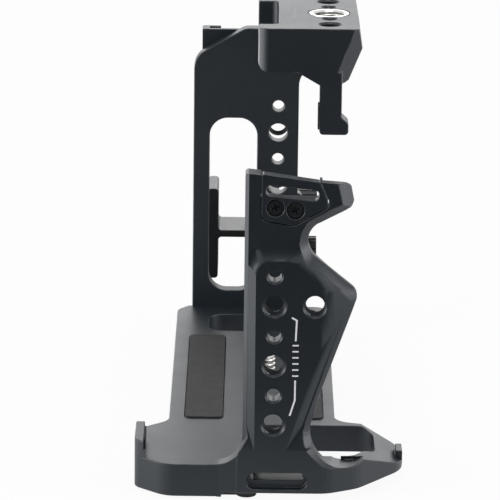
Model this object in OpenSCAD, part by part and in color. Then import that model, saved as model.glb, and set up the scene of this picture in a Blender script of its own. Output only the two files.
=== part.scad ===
// Cage for a mirrorless camera with a hand grip.
//
// Frame: the origin is where the camera's tripod socket meets the seat. +X points to the grip side,
// +Y to the lens and +Z up, so z = 0 is the metal seat under the camera and x = 0 is the lens axis.
// A base with an upright on the grip side is one milled piece. A side frame is bolted to its other
// end, and a bridge on the side frame carries the accessory block in front of the hot shoe.

/* [Camera] */
// Lens axis to the grip side of the camera
cam_right = 72.5; // [70:0.5:75]
// Lens axis to the other side of the camera
cam_left = 62; // [60:0.5:64]
// Seat to the top of the hot shoe, which the accessory block is level with
cam_h = 96.8; // [94:0.2:99]
// Air between the camera and the metal on each side
cam_gap = 0.5; // [0.3:0.1:0.8]

/* [Base] */
// Thickness of the base
base_t = 8.2; // [7.8:0.1:9]
// Lens axis to the rear edge of the middle of the base
base_rear = 24; // [23:0.5:26]
// Lens axis to the front edge of the middle of the base
base_front = 18; // [17:0.5:19]
// Lens axis to the rear edge of the lobe under the grip
lobe_rear = 31.8; // [30:0.2:33]
// Lens axis to the front edge of the lobe under the grip
lobe_front = 34.6; // [33.6:0.2:36]
// Lens axis to where the two lobes begin
lobe_x = 44; // [42:0.5:46]
// How far the underside steps up under the grip
relief_h = 1.3; // [0.8:0.1:1.6]
// Height of the lip behind the camera
rear_lip_h = 4.2; // [3:0.2:5]

/* [Grip upright] */
// Thickness of the upright behind its raised panel
upright_t = 3.4; // [3:0.1:4]
// How far the panel with the holes stands proud
panel_h = 1.6; // [1:0.1:2]
// Extra thickness of the upright's head, inwards
head_extra = 2; // [1.4:0.1:2.6]
// Rear edge of the upright, behind the lens axis
upright_rear = 5.3; // [4.8:0.1:6]
// Height of the upright at its rear corner
upright_h = 73.2; // [71:0.2:75]
// Length of the strap slot at the foot of the upright
strap_slot_l = 14.9; // [12:0.1:16]
// Height of the strap slot
strap_slot_h = 4.2; // [3.8:0.1:4.6]
// Clearance for the strap's thickness
strap_gap = 2.3; // [2:0.1:2.6]

/* [Threads and pin holes] */
// Bore radius of a 1/4 inch thread
quarter_r = 2.55; // [2.5:0.01:2.65]
// Bore radius of a 3/8 inch thread
three8_r = 3.97; // [3.9:0.01:4.05]
// Radius of a locating pin hole
pin_r = 1.6; // [1.5:0.05:1.7]
// Distance from a thread to the locating pin hole beside it
pin_pitch = 7.5; // [7.4:0.05:7.6]
// Distance from the lens axis to the upright's column of holes
column_y = 2.1; // [1.6:0.1:2.6]
// Height of the lowest thread in the upright
column_z = 10.7; // [10:0.1:12]
// Width of the bevel at the mouth of a hole
mouth = 0.5; // [0.3:0.05:0.6]

/* [Accessory block] */
// Half the width of the block
block_half = 20.5; // [20:0.1:22]
// Height of the block
block_h = 11.2; // [10.5:0.1:12]
// Rear edge of the block's two prongs, behind the lens axis
block_rear = 2.5; // [2:0.1:3.4]
// Front edge of the block's top
block_front = 22.9; // [22:0.1:24]
// Half the width of the notch round the hot shoe
notch_half = 14.5; // [13.5:0.1:15]
// Front wall of the notch
notch_y = 2.7; // [2.2:0.1:3.4]
// Distance from the lens axis to the block's row of holes
row_y = 15.6; // [15:0.1:16]
// Distance between the row's middle and its outer threads
row_outer = 14.4; // [14.2:0.1:14.8]
// Outer radius of the steel thread insert
insert_r = 5.1; // [4.9:0.05:5.3]
// Depth of the steel thread insert
insert_h = 9; // [8:0.1:10]
// Width of the leg in front of the camera
leg_w = 6; // [5:0.1:7]

/* [Side frame] */
// Thickness of the side frame
side_t = 4.5; // [4.2:0.1:5]
// Rear edge of the side frame, behind the lens axis
side_rear = 20; // [19:0.5:21]
// Front edge of the side frame
side_front = 9; // [8:0.2:9.6]
// Height of the side frame
side_h = 79.3; // [78:0.1:82]
// Thickness of the shelf that carries the bridge
shelf_t = 3.5; // [3:0.1:4]
// Thickness of the bridge's end on the shelf
bridge_end_t = 4; // [3.6:0.1:5]
// Height of the lower thread in the side frame
side_column_z = 35; // [34:0.5:36]

/* [Strap bracket] */
// Thickness of the strap bracket
bracket_t = 3.2; // [2.8:0.1:3.6]
// Length of the slot in the bracket
bracket_slot_l = 12.7; // [11:0.1:13]
// Height of the slot in the bracket
bracket_slot_h = 2.65; // [2.2:0.05:3]
// Gap round a piece that is set into another
seam = 0.2; // [0.1:0.05:0.25]

/* [Screws and pads] */
// Radius of the camera screw's 1/4 inch thread
camera_screw_r = 3.175; // [3.1:0.005:3.2]
// How far the camera screw stands above the seat
camera_screw_proud = 5; // [4:0.1:6]
// Travel of the loosened camera screw
camera_screw_travel = 4.5; // [3:0.1:5]
// Running clearance of a turning or sliding fit, on the radius
running = 0.06; // [0.03:0.01:0.08]
// Thickness of the rubber pads
pad_t = 1; // [0.8:0.1:1.2]
// How far the seat pads stand proud
pad_proud = 0.4; // [0.2:0.1:0.5]
// Radius of a rubber foot
foot_r = 2.5; // [2:0.1:3]
// How far the feet stand below the base
foot_proud = 0.8; // [0.6:0.1:1.2]

/* [Cold shoe] */
// Width of the foot that slides into the cold shoe
shoe_w = 18.7; // [18.6:0.05:18.8]
// Height of the foot that slides into the cold shoe
shoe_h = 2.2; // [2:0.05:2.4]
// Length of the cold shoe
shoe_l = 18; // [17:0.5:20]

/* [Cable clamp] */
// Width of each cable channel
channel_w = 11; // [10:0.1:12]
// Depth of each cable channel
channel_d = 12; // [11:0.1:13]
// Length of the channels
channel_l = 15; // [13:0.5:17]
// Height of the clamp's middle web above the seat
clamp_z = 18.6; // [17:0.1:20]
// Travel of the clamp's jaws
jaw_travel = 4.2; // [3:0.1:5]
// Radius of the thumb knobs
knob_r = 4.5; // [4:0.1:5]
// Radius of the thumb screws
thumb_r = 2; // [1.75:0.05:2.2]

/* [Hidden] */
$fn = 48;
arc_step = 9;
eps = 0.01;
overcut = 1;

black = [0.11, 0.11, 0.12];
graphite = [0.2, 0.2, 0.21];
steel = [0.72, 0.72, 0.74];
rubber = [0.06, 0.06, 0.06];

// Planes that several pieces share.
right_in = cam_right + cam_gap;
left_in = -cam_left - cam_gap;
low_x = right_in + upright_t;
panel_x = low_x + panel_h;
head_in = right_in - head_extra;
left_out = left_in - side_t;
under = -base_t;
relief_z = under + relief_h;
block_under = cam_h - block_h;
leg_rear = row_y - 2.4;
leg_foot = block_under - 16.2;
column_pitch = 2 * pin_pitch;
side_mid_z = -base_t / 2;

// Corners of the outlines: [across, up, corner radius].
waist = [5.9, upright_h - 16.1];
waist_r = 5;
dip = [20.5, 8.4];
dip_r = 9.3;
rim_y = 24.6;
rim_drop = 5.2;
upright_outline = [
    [-upright_rear - 7.7, under, 0],
    [-upright_rear - 7.7, 0, 0],
    [-upright_rear, 0, 7],
    [-upright_rear, upright_h, 0.8],
    [12.9, upright_h - 2.1, 2],
    [20.2, upright_h - 2.6, 2.2],
    [21.3, upright_h - 8, 3],
    [waist[0], waist[1], waist_r],
    [22.6, 43.6, 3.4],
    [12.4, 15, 16],
    [dip[0] - dip_r, dip[1] - dip_r, dip_r],
    [rim_y, dip[1] - dip_r, 0],
    [rim_y, 0, 0],
    [lobe_front, -rim_drop, 0],
    [lobe_front, under, 0]
];
panel_outline = [
    [-2.4, 0, 0],
    [-2.5, 52, 3.2],
    [5.2, 52.2, 1.5],
    [17.4, 42, 2.5],
    [3.8, 0, 0]
];
panel_skirt = [
    [-4.3, 0, 0],
    [-4.4, 55, 4.6],
    [6.6, 55.2, 2],
    [20.2, 42.8, 3],
    [5.8, 0, 0]
];
bracket_outline = [
    [-1.3, upright_h - 0.1, 0.5],
    [12.7, upright_h - 2.1, 0.6],
    [15, upright_h - 7.8, 1.6],
    [6.4, upright_h - 12.8, 3.5],
    [-1.4, upright_h - 11.6, 2.2]
];
bracket_screws = [[2, upright_h - 8.5], [6.8, upright_h - 9.1]];
bracket_slot_at = [6.05, upright_h - 4.8];
bracket_slot_tilt = -6;
bracket_floor = low_x - bracket_t;
bracket_screw_r = 1.25;
bracket_head_r = 1.95;
bracket_head_h = 1.6;

// Plan of the base, seen from above.
flank_x = panel_x - 1;
base_outline = [
    [panel_x, -upright_rear - 1, 0],
    [panel_x, 15.4, 9],
    [right_in + 0.6, 23.2, 10],
    [right_in - 14.2, lobe_front, 11],
    [lobe_x + 2, lobe_front, 4],
    [lobe_x - 3, base_front, 5],
    [left_in, base_front, 4],
    [left_in, 11, 0],
    [left_in, -base_rear + 3, 0],
    [left_in + 4, -base_rear, 5],
    [lobe_x - 2, -base_rear, 6],
    [lobe_x + 5, -lobe_rear, 5],
    [right_in - 3, -lobe_rear, 4],
    [flank_x, -lobe_rear + 7.6, 7],
    [flank_x, -upright_rear - 6, 5],
    [panel_x - 0.3, -upright_rear - 1.6, 0.4]
];
// Opening under the camera's battery door.
door_outline = [
    [lobe_x + 1, -2, 4],
    [right_in - 4, -2, 4],
    [right_in - 4, 21.5, 5],
    [right_in - 12.5, lobe_front - 7, 6],
    [lobe_x + 1, lobe_front - 7, 4]
];
// Opening under the camera's speaker and labels.
window_outline = [
    [left_in + 8.5, 9 - base_rear, 4],
    [left_in + 24.5, 9 - base_rear, 4],
    [left_in + 24.5, base_front - 7, 4],
    [left_in + 8.5, base_front - 7, 4]
];

// Camera screw, in a stepped bore on the origin.
screw_head_r = 6;
screw_head_h = 3;
screw_well_r = 6.7;
washer_t = 0.8;
screw_well_top = under + screw_head_h + washer_t + 0.4;
washer_r = 5.6;
screw_neck_r = 2.45;

// Tripod threads in the underside.
tripod_x = 21;
tripod_insert_h = base_t - 1;
tripod_pins = [-tripod_x - pin_pitch, -tripod_x + pin_pitch];
tripod_pin_depth = 5;

// Hex key in the underside.
key_af = 3;
key_y = -19.2;
key_x0 = -33;
key_long = 44;
key_short = 11;
key_gap = 0.35;
key_z = under + 0.4 + key_af / 2;
magnet_r = 2;
magnet_h = 1.6;
magnet_x = [-27, 2];

// Screws through the side frame into the base.
side_screw_y = [-15, -3.5, 7];
dowel_y = [-9.2, 2];
m3_r = 1.5;
m3_head_r = 2.8;
m3_csk = 1.5;
m3_len = 12;
fit = 0.05;
dowel_r = 1.25;
dowel_l = 8;

// Shelf, and the bridge screws that go down into it.
shelf_y0 = 1;
shelf_y1 = 16;
shelf_x = left_in + 12.5;
bridge_screw_x = [left_out + 5.5, left_out + 12.7];
bridge_screw_y = (shelf_y0 + shelf_y1) / 2;

side_column_y = 3.4;
side_threads = [side_column_z, side_column_z + column_pitch];
side_pins = [side_column_z + pin_pitch, side_column_z + column_pitch + pin_pitch];

shoe_wall = 2.1;
shoe_floor = 1.6;
shoe_lip = 1.5;
shoe_y = -6.4;
shoe_top = side_h - 1.2;
shoe_screw_dy = 5.4;
shoe_screw_dz = 4.8;
m2_r = 1;
m2_head_r = 1.9;

// Cable clamp, on the side frame.
clamp_plate_t = 4;
clamp_wall = 3;
clamp_front = 6;
clamp_web = 2;
clamp_y = -2;
clamp_x = left_out - clamp_plate_t;
clamp_tip = clamp_x - channel_l;
channel_rear = clamp_y - channel_w;
jaw_t = 2.6;
jaw_gap = 0.3;
jaw_h = channel_d - 1.5;
knob_h = 6;
knob_y = clamp_y + clamp_front + jaw_travel + 0.5;
thumb_x = clamp_x - channel_l / 2;
thumb_z = [clamp_z + clamp_web / 2 + channel_d / 2, clamp_z - clamp_web / 2 - channel_d / 2];
thumb_tip_r = 1.2;
thumb_tip_l = 1.6;
mount_screw_y = 7.2;
mount_screw_z = clamp_z;

foot_h = relief_h + foot_proud + 1;
feet = [
    [panel_x - 5.2, -4.2],
    [lobe_x + 6, lobe_front - 3.6],
    [lobe_x + 14, 4 - lobe_rear],
    [left_in + 4.5, -base_rear + 6],
    [left_in + 4.5, base_front - 5]
];

// ---- Outlines -------------------------------------------------------------------------------

function unit(v) = v / norm(v);

// The points that round corner q, which lies between p and s, to its radius q[2].
function corner(p, q, s) =
    q[2] <= 0 ? [[q[0], q[1]]] :
    let (
        at = [q[0], q[1]],
        u = unit([p[0], p[1]] - at),
        v = unit([s[0], s[1]] - at),
        half = acos(u * v) / 2,
        mid = at + unit(u + v) * q[2] / sin(half),
        from = at + u * q[2] / tan(half) - mid,
        to = at + v * q[2] / tan(half) - mid,
        start = atan2(from[1], from[0]),
        sweep = (atan2(to[1], to[0]) - start + 540) % 360 - 180,
        steps = max(2, ceil(abs(sweep) / arc_step))
    )
    [for (i = [0:steps]) mid + q[2] * [cos(start + sweep * i / steps), sin(start + sweep * i / steps)]];

// A closed outline with every corner rounded to its own radius.
function rounded(path) =
    let (n = len(path))
    [for (i = [0:n - 1]) each corner(path[(i + n - 1) % n], path[i], path[(i + 1) % n])];

// A rounded rectangle from one corner to the other.
function slab(x0, y0, x1, y1, r) = rounded([[x0, y0, r], [x1, y0, r], [x1, y1, r], [x0, y1, r]]);

// ---- Shared shapes --------------------------------------------------------------------------

// An outline in Y and Z, extruded from x0 to x1.
module across(x0, x1) {
    translate([x0, 0, 0])
        rotate([90, 0, 90])
            linear_extrude(x1 - x0)
                children();
}

// An outline in X and Z, extruded from y0 to y1.
module along(y0, y1) {
    translate([0, y1, 0])
        rotate([90, 0, 0])
            linear_extrude(y1 - y0)
                children();
}

// A hole along +X whose bevelled mouth lies in the plane x1.
module hole_x(y, z, r, x0, x1) {
    translate([x0 - overcut, y, z])
        rotate([0, 90, 0])
            cylinder(r = r, h = x1 - x0 + 2 * overcut);
    translate([x1 - mouth, y, z])
        rotate([0, 90, 0])
            cylinder(r1 = r, r2 = r + mouth + eps, h = mouth + eps);
}

// A hole along Z from z0 up to a bevelled mouth at z1.
module hole_up(x, y, r, z0, z1) {
    translate([x, y, z0])
        cylinder(r = r, h = z1 - z0 + overcut);
    translate([x, y, z1 - mouth])
        cylinder(r1 = r, r2 = r + mouth + eps, h = mouth + eps);
}

// A hole along Z from a bevelled mouth at z0 up to z1.
module hole_down(x, y, r, z0, z1) {
    translate([x, y, z0 - overcut])
        cylinder(r = r, h = z1 - z0 + overcut);
    translate([x, y, z0 - eps])
        cylinder(r1 = r + mouth + eps, r2 = r, h = mouth + eps);
}

// A bevel cut along the outer edge from a to b, w wide on the face x = top and d deep.
module edge_bevel(a, b, w, d, top) {
    run = b - a;
    translate([0, a[0], a[1]])
        rotate([atan2(run[1], run[0]), 0, 0])
            translate([0, norm(run), 0])
                rotate([90, 0, 0])
                    linear_extrude(norm(run))
                        polygon([
                            [top - d - d, -w], [top - d, 0], [top, w], [top + 2 * d, w + w],
                            [top + 2 * d, -w - w], [top - d - d, -w - w]
                        ]);
}

// A screw with a countersunk head whose top is at the origin, pointing down.
module countersunk(r, head_r, csk, l, drive) {
    difference() {
        union() {
            translate([0, 0, -csk])
                cylinder(r1 = r, r2 = head_r, h = csk);
            translate([0, 0, -l])
                cylinder(r = r, h = l);
        }
        translate([0, 0, -csk * 0.75])
            cylinder(r = drive, h = csk, $fn = 6);
    }
}

// The hole for such a screw, with clearance all round.
module countersunk_hole(r, head_r, csk, l) {
    translate([0, 0, -csk - fit])
        cylinder(r1 = r + fit, r2 = head_r + fit, h = csk + fit);
    translate([0, 0, -eps])
        cylinder(r = head_r + fit, h = overcut);
    translate([0, 0, -l - fit])
        cylinder(r = r + fit, h = l);
}

// ---- Base and grip upright ------------------------------------------------------------------

// The upright's thickness: thin by the camera, full at the foot, with the panel standing proud.
module upright_levels() {
    low_top = 7;
    run_out = 3;
    across(head_in, low_x)
        polygon(slab(-40, under, 50, upright_h + overcut, 0));
    along(-40, 50)
        polygon([
            [head_in, under], [panel_x, under], [panel_x, low_top - run_out],
            [low_x, low_top + run_out], [head_in, low_top + run_out]
        ]);
    hull() {
        across(panel_x - eps, panel_x)
            polygon(rounded(panel_outline));
        across(low_x - eps, low_x)
            polygon(rounded(panel_skirt));
    }
}

// Room for the camera beside the upright, with a cove up to the thicker head.
module camera_side_room() {
    head_z = 50;
    cove = 4;
    along(-60, 60)
        polygon([
            [head_in - overcut, under - overcut], [right_in, under - overcut], [right_in, head_z],
            [head_in, head_z + cove], [head_in - overcut, head_z + cove]
        ]);
}

module upright() {
    difference() {
        intersection() {
            across(head_in, panel_x)
                polygon(rounded(upright_outline));
            upright_levels();
            translate([0, 0, under])
                linear_extrude(upright_h + base_t + overcut)
                    polygon(rounded(base_outline));
        }
        difference() {
            camera_side_room();
            translate([0, 0, under - 2 * overcut])
                linear_extrude(base_t + 2 * overcut)
                    polygon(slab(0, -60, 100, 60, 0));
        }
        // The fin in front of the strap bracket is thinner.
        translate([head_in - overcut, 13.2, upright_h - 12])
            cube([low_x - 2.8 - head_in + overcut, 20, 20]);
        upright_bevels();
    }
}

// The bevelled flanks on the upright's front and rear edges.
module upright_bevels() {
    fin = [21.3, upright_h - 8];
    heel = [22.6, 43.6];
    to_fin = unit(fin - waist);
    to_heel = unit(heel - waist);
    half = acos(to_fin * to_heel) / 2;
    hub = waist + unit(to_fin + to_heel) * waist_r / sin(half);
    away = waist_r / tan(half);
    w = 2;
    edge_bevel(fin + to_fin, waist + away * to_fin, -w, w, low_x);
    edge_bevel(waist + away * to_heel, heel + to_heel, -w, w, low_x);
    translate([low_x - 2 * w, hub[0], hub[1]])
        rotate([0, 90, 0])
            cylinder(r1 = waist_r - w, r2 = waist_r + 2 * w, h = 3 * w);
    edge_bevel(heel + unit(heel - [12.4, 15]), [12, 12], -w, w, low_x + 0.4);
    edge_bevel([20.1, upright_h - 2], [21.5, upright_h - 9], -3.1, 3, low_x);
    edge_bevel([-upright_rear, 4], [-upright_rear, upright_h + 1], -0.9, 0.9, low_x);
}

// The ledge that the strap bracket is set into, cut right through behind the bracket's slot.
module bracket_pocket() {
    across(bracket_floor, panel_x)
        offset(delta = seam)
            polygon(rounded(bracket_outline));
    intersection() {
        across(head_in - overcut, panel_x)
            polygon(slab(-1.4 - seam, upright_h - 6.6, 12.6, upright_h + 2, 0.6));
        across(head_in - overcut, panel_x)
            offset(delta = seam)
                polygon(rounded(bracket_outline));
    }
}

module base_plate() {
    difference() {
        intersection() {
            translate([0, 0, under])
                linear_extrude(base_t)
                    polygon(rounded(base_outline));
            across(left_in - overcut, panel_x + overcut)
                polygon([
                    [-60, under], [lobe_front, under], [lobe_front, -rim_drop], [rim_y, 0], [-60, 0]
                ]);
        }
        // Battery door and speaker openings.
        translate([0, 0, under - overcut])
            linear_extrude(base_t + 2 * overcut) {
                polygon(rounded(door_outline));
                polygon(rounded(window_outline));
            }
    }
}

// The underside steps up in front of the rear lobe, under the grip.
module relief() {
    translate([0, 0, under - overcut])
        linear_extrude(relief_h + overcut)
            polygon(rounded([
                [lobe_x - 20, lobe_front + 9, 0], [lobe_x - 3, base_front - 3, 3],
                [lobe_x - 3, -4, 3], [right_in - 4, -4, 3], [right_in - 2, -2.5, 2],
                [panel_x + 9, -2.5, 0], [panel_x + 9, lobe_front + 9, 0]
            ]));
    // It ends in a round cut on the outer edge.
    across(panel_x - 2.6, panel_x + overcut)
        polygon(rounded([
            [-upright_rear - 5.2, under - overcut, 0], [-upright_rear - 5, relief_z, 1.4],
            [0, relief_z, 0], [0, under - overcut, 0]
        ]));
}

// The lip behind the camera, at the end of the rear lobe.
module rear_lip() {
    lip_t = 2.2;
    intersection() {
        translate([0, 0, -eps])
            linear_extrude(rear_lip_h + eps)
                polygon(rounded(base_outline));
        translate([right_in - 17, -lobe_rear - overcut, -overcut])
            cube([30, lip_t + overcut, rear_lip_h + 3]);
    }
}

// The small lip at the front of the lobe under the grip.
module front_lip() {
    lip_t = 1.6;
    lip_h = 2.4;
    translate([lobe_x + 6, lobe_front - lip_t, -rim_drop - 1])
        cube([6, lip_t, 1 + lip_h]);
}

module main_frame() {
    color(black)
        difference() {
            union() {
                base_plate();
                upright();
                rear_lip();
                front_lip();
            }
            relief();
            // The upright's foot runs down into the rim in a round dip.
            translate([right_in - 4, dip[0], dip[1]])
                rotate([0, 90, 0])
                    cylinder(r = dip_r, h = 20);
            bracket_pocket();
            for (p = bracket_screws)
                translate([0, p[0], p[1]])
                    rotate([0, 90, 0])
                        translate([0, 0, head_in - overcut])
                            cylinder(r = bracket_screw_r + fit, h = bracket_t + 3);
            // Column of threads and pin holes.
            for (i = [0:2]) {
                hole_x(column_y, column_z + i * column_pitch, quarter_r, right_in, panel_x);
                hole_x(column_y, column_z + pin_pitch + i * column_pitch, pin_r, right_in, panel_x);
            }
            hole_x(column_y + 9.8, column_z + 2 * column_pitch, quarter_r, right_in, panel_x);
            strap_slot();
            upright_pad_pocket();
            lip_pad_pocket();
            base_seats();
        }
}

// The strap goes in over a ledge and comes out of the underside.
module strap_slot() {
    mid = 3.15;
    top = relief_z + 1 + strap_slot_h;
    half = strap_slot_l / 2;
    ledge = 1.8;
    depth = 11;
    across(panel_x - ledge, panel_x + overcut)
        polygon(slab(mid - half, top - strap_slot_h, mid + half, top, strap_slot_h / 2 - eps));
    across(panel_x - depth, panel_x)
        polygon(slab(mid - half + 0.8, top - strap_gap, mid + half - 0.8, top, strap_gap / 2 - eps));
    translate([panel_x - depth, mid - half + 2, under - overcut])
        cube([3.8, 2 * half - 4, top - under + overcut - strap_gap / 2]);
}

// Bores, pockets and recesses in the middle of the base.
module base_seats() {
    translate([0, 0, under - overcut])
        cylinder(r = screw_well_r, h = screw_well_top - under + overcut);
    translate([0, 0, under])
        cylinder(r = camera_screw_r + running, h = base_t + overcut);
    // Steel insert and 1/4 inch thread for a tripod.
    hole_down(tripod_x, 0, insert_r + fit, under, under + tripod_insert_h);
    hole_down(-tripod_x, 0, quarter_r, under, overcut);
    for (x = tripod_pins)
        hole_down(x, 0, pin_r, under, under + tripod_pin_depth);
    key_pocket();
    for (x = magnet_x)
        translate([x, key_y, key_z])
            cylinder(r = magnet_r + fit, h = key_af / 2 + key_gap + magnet_h);
    seat_pad_shapes(fit, pad_t - pad_proud);
    for (p = feet)
        translate([p[0], p[1], under - overcut])
            cylinder(r = foot_r + fit, h = overcut - foot_proud + foot_h);
    // Holes for the side frame's screws and dowels.
    for (y = side_screw_y)
        translate([left_in, y, side_mid_z])
            rotate([0, 90, 0])
                translate([0, 0, -overcut])
                    cylinder(r = m3_r + fit, h = m3_len - side_t + 2 * overcut);
    for (y = dowel_y)
        translate([left_in, y, side_mid_z])
            rotate([0, 90, 0])
                translate([0, 0, -overcut])
                    cylinder(r = dowel_r + fit / 2, h = dowel_l / 2 + overcut);
}

// ---- Side frame -----------------------------------------------------------------------------

module side_frame() {
    side_outline = [
        [-side_rear, under, 3], [side_front + 2, under, 3], [side_front, 6, 6],
        [side_front, side_h - 13.3, 6], [shelf_y1, side_h - 7.3, 4], [shelf_y1, side_h, 2],
        [14 - side_rear, side_h, 4], [-side_rear, side_h - 8, 6]
    ];
    color(black)
        difference() {
            union() {
                across(left_out, left_in)
                    polygon(rounded(side_outline));
                // Shelf over the camera's shoulder, with a cove under it.
                along(shelf_y0, shelf_y1)
                    polygon([
                        [left_in - eps, side_h], [shelf_x, side_h], [shelf_x, side_h - shelf_t],
                        [left_in + 4, side_h - shelf_t], [left_in - eps, side_h - shelf_t - 4]
                    ]);
            }
            // Opening beside the camera's sockets.
            across(left_out - overcut, left_in + overcut)
                polygon(slab(-side_rear + 4.5, 4.5, -2.4, 54, 5));
            for (y = side_screw_y)
                translate([left_out, y, side_mid_z])
                    rotate([0, -90, 0])
                        countersunk_hole(m3_r, m3_head_r, m3_csk, m3_len);
            for (y = dowel_y)
                translate([left_in - dowel_l / 2, y, side_mid_z])
                    rotate([0, 90, 0])
                        cylinder(r = dowel_r + fit / 2, h = dowel_l);
            mirror([1, 0, 0]) {
                for (z = side_threads)
                    hole_x(side_column_y, z, quarter_r, -left_in, -left_out);
                for (z = side_pins)
                    hole_x(side_column_y, z, pin_r, -left_in, -left_out);
            }
            for (x = bridge_screw_x)
                translate([x, bridge_screw_y, side_h + overcut])
                    rotate([180, 0, 0])
                        cylinder(r = m3_r + fit, h = shelf_t + 2 * overcut + 5);
            for (dy = [-1, 1])
                for (dz = [-1, 1])
                    translate([left_out - overcut, shoe_y + dy * shoe_screw_dy,
                        shoe_top - shoe_l / 2 + dz * shoe_screw_dz])
                        rotate([0, 90, 0])
                            cylinder(r = m2_r + fit, h = 3.4 + overcut);
            translate([left_out - overcut, mount_screw_y, mount_screw_z])
                rotate([0, 90, 0])
                    cylinder(r = m3_r + fit, h = side_t + 2 * overcut);
        }
}

// ---- Bridge with the accessory block --------------------------------------------------------

module block_body() {
    nose = 1;
    nose_drop = 5.7;
    skirt = 3.3;
    prong_r = 2.8;
    block_profile = [
        [-block_rear, cam_h, 0.5],
        [-block_rear, block_under, 2.4],
        [7.4, block_under, 4],
        [13.1, block_under - skirt, 0],
        [19.4, block_under - skirt, 0],
        [block_front - 2.4, block_under - skirt + 0.6, 0],
        [block_front + nose, cam_h - nose_drop, 0],
        [block_front, cam_h, 0]
    ];
    difference() {
        across(-block_half, block_half)
            polygon(rounded(block_profile));
        // Slanted cuts on both front corners.
        for (side = [0, 1])
            mirror([side, 0, 0])
                translate([block_half, block_front - 0.9, cam_h])
                    rotate([0, 0, 45])
                        rotate([0, 15, 0])
                            translate([0, -30, -40])
                                cube([30, 60, 60]);
        // Rounded rear corners.
        for (side = [0, 1])
            mirror([side, 0, 0])
                translate([block_half - prong_r, -block_rear + prong_r, 0])
                    difference() {
                        translate([0, -4, block_under - 4])
                            cube([4, 4, block_h + 8]);
                        translate([0, 0, block_under - 5])
                            cylinder(r = prong_r, h = block_h + 10);
                    }
    }
}

module leg() {
    leg_outline = [
        [leg_rear, block_under, 0],
        [leg_rear, leg_foot, 1],
        [leg_rear + 7.4, leg_foot, 1],
        [leg_rear + 7.4, leg_foot + 3, 1.4],
        [leg_rear + 5.6, leg_foot + 4.6, 1],
        [leg_rear + 5.6, block_under, 0]
    ];
    across(block_half - leg_w, block_half)
        polygon(rounded(leg_outline));
}

module bridge() {
    arm_outline = [
        [left_out + 0.2, side_h, 0.4],
        [shelf_x, side_h, 6],
        [-31, block_under, 8],
        [-10, block_under, 0],
        [-10, cam_h, 0],
        [-24, cam_h, 10],
        [shelf_x + 1, side_h + bridge_end_t, 8],
        [left_out + 0.2, side_h + bridge_end_t, 1]
    ];
    color(black)
        difference() {
            union() {
                block_body();
                leg();
                along(shelf_y0, shelf_y1)
                    polygon(rounded(arm_outline));
            }
            // Notch round the hot shoe.
            translate([0, 0, block_under - 4 * overcut])
                linear_extrude(block_h + 5 * overcut)
                    polygon(rounded([
                        [-notch_half, -block_rear - 9, 0], [notch_half, -block_rear - 9, 0],
                        [notch_half, notch_y, 1.8], [-notch_half, notch_y, 1.8]
                    ]));
            // Row of holes in the top.
            hole_up(0, row_y, insert_r + fit, cam_h - insert_h, cam_h);
            for (side = [-1, 1]) {
                hole_up(side * row_outer, row_y, quarter_r, cam_h - 10, cam_h);
                hole_up(side * pin_pitch, row_y, pin_r, cam_h - 5, cam_h);
            }
            for (x = bridge_screw_x)
                translate([x, bridge_screw_y, side_h + bridge_end_t])
                    countersunk_hole(m3_r, m3_head_r, m3_csk, m3_len);
            leg_pad_pocket();
        }
}

// ---- Strap bracket --------------------------------------------------------------------------

module strap_bracket() {
    color(black)
        difference() {
            across(bracket_floor, low_x)
                polygon(rounded(bracket_outline));
            translate([0, bracket_slot_at[0], bracket_slot_at[1]])
                rotate([bracket_slot_tilt, 0, 0])
                    across(bracket_floor - overcut, low_x + overcut)
                        polygon(slab(-bracket_slot_l / 2, -bracket_slot_h / 2, bracket_slot_l / 2,
                            bracket_slot_h / 2, bracket_slot_h / 2 - 0.2));
            for (p = bracket_screws)
                translate([0, p[0], p[1]])
                    rotate([0, 90, 0]) {
                        translate([0, 0, bracket_floor - overcut])
                            cylinder(r = bracket_screw_r + fit, h = bracket_t + 2 * overcut);
                        translate([0, 0, low_x - bracket_head_h - 0.3])
                            cylinder(r = bracket_head_r + seam, h = bracket_head_h + overcut);
                    }
        }
}

module strap_bracket_screws() {
    seat = low_x - bracket_head_h - 0.3;
    color(steel)
        for (p = bracket_screws)
            translate([seat, p[0], p[1]])
                rotate([0, 90, 0])
                    difference() {
                        union() {
                            cylinder(r = bracket_head_r, h = bracket_head_h);
                            translate([0, 0, -3.4])
                                cylinder(r = bracket_screw_r, h = 3.4 + eps);
                        }
                        // Cross recess.
                        for (turn = [20, 110])
                            rotate([0, 0, turn])
                                translate([-1.05, -0.28, bracket_head_h - 0.9])
                                    cube([2.1, 0.56, 2]);
                    }
}

// ---- Steel inserts --------------------------------------------------------------------------

// A threaded sleeve with its flange level with z = 0 and its length going down.
module insert(h) {
    difference() {
        translate([0, 0, -h])
            cylinder(r = insert_r, h = h);
        translate([0, 0, -h - overcut])
            cylinder(r = three8_r, h = h + 2 * overcut);
        translate([0, 0, -mouth])
            cylinder(r1 = three8_r, r2 = three8_r + mouth + eps, h = mouth + eps);
    }
}

module top_insert() {
    color(steel)
        translate([0, row_y, cam_h])
            insert(insert_h);
}

module tripod_insert() {
    color(steel)
        translate([tripod_x, 0, under])
            rotate([180, 0, 0])
                insert(tripod_insert_h);
}

// ---- Fasteners ------------------------------------------------------------------------------

module side_frame_screws() {
    color(steel)
        for (y = side_screw_y)
            translate([left_out, y, side_mid_z])
                rotate([0, -90, 0])
                    countersunk(m3_r, m3_head_r, m3_csk, m3_len, 1.15);
}

module side_frame_dowels() {
    color(steel)
        for (y = dowel_y)
            translate([left_in - dowel_l / 2 + fit, y, side_mid_z])
                rotate([0, 90, 0])
                    cylinder(r = dowel_r, h = dowel_l - 2 * fit);
}

module bridge_screws() {
    color(steel)
        for (x = bridge_screw_x)
            translate([x, bridge_screw_y, side_h + bridge_end_t])
                countersunk(m3_r, m3_head_r, m3_csk, bridge_end_t + shelf_t - 0.3, 1.15);
}

// ---- Rubber ---------------------------------------------------------------------------------

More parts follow.
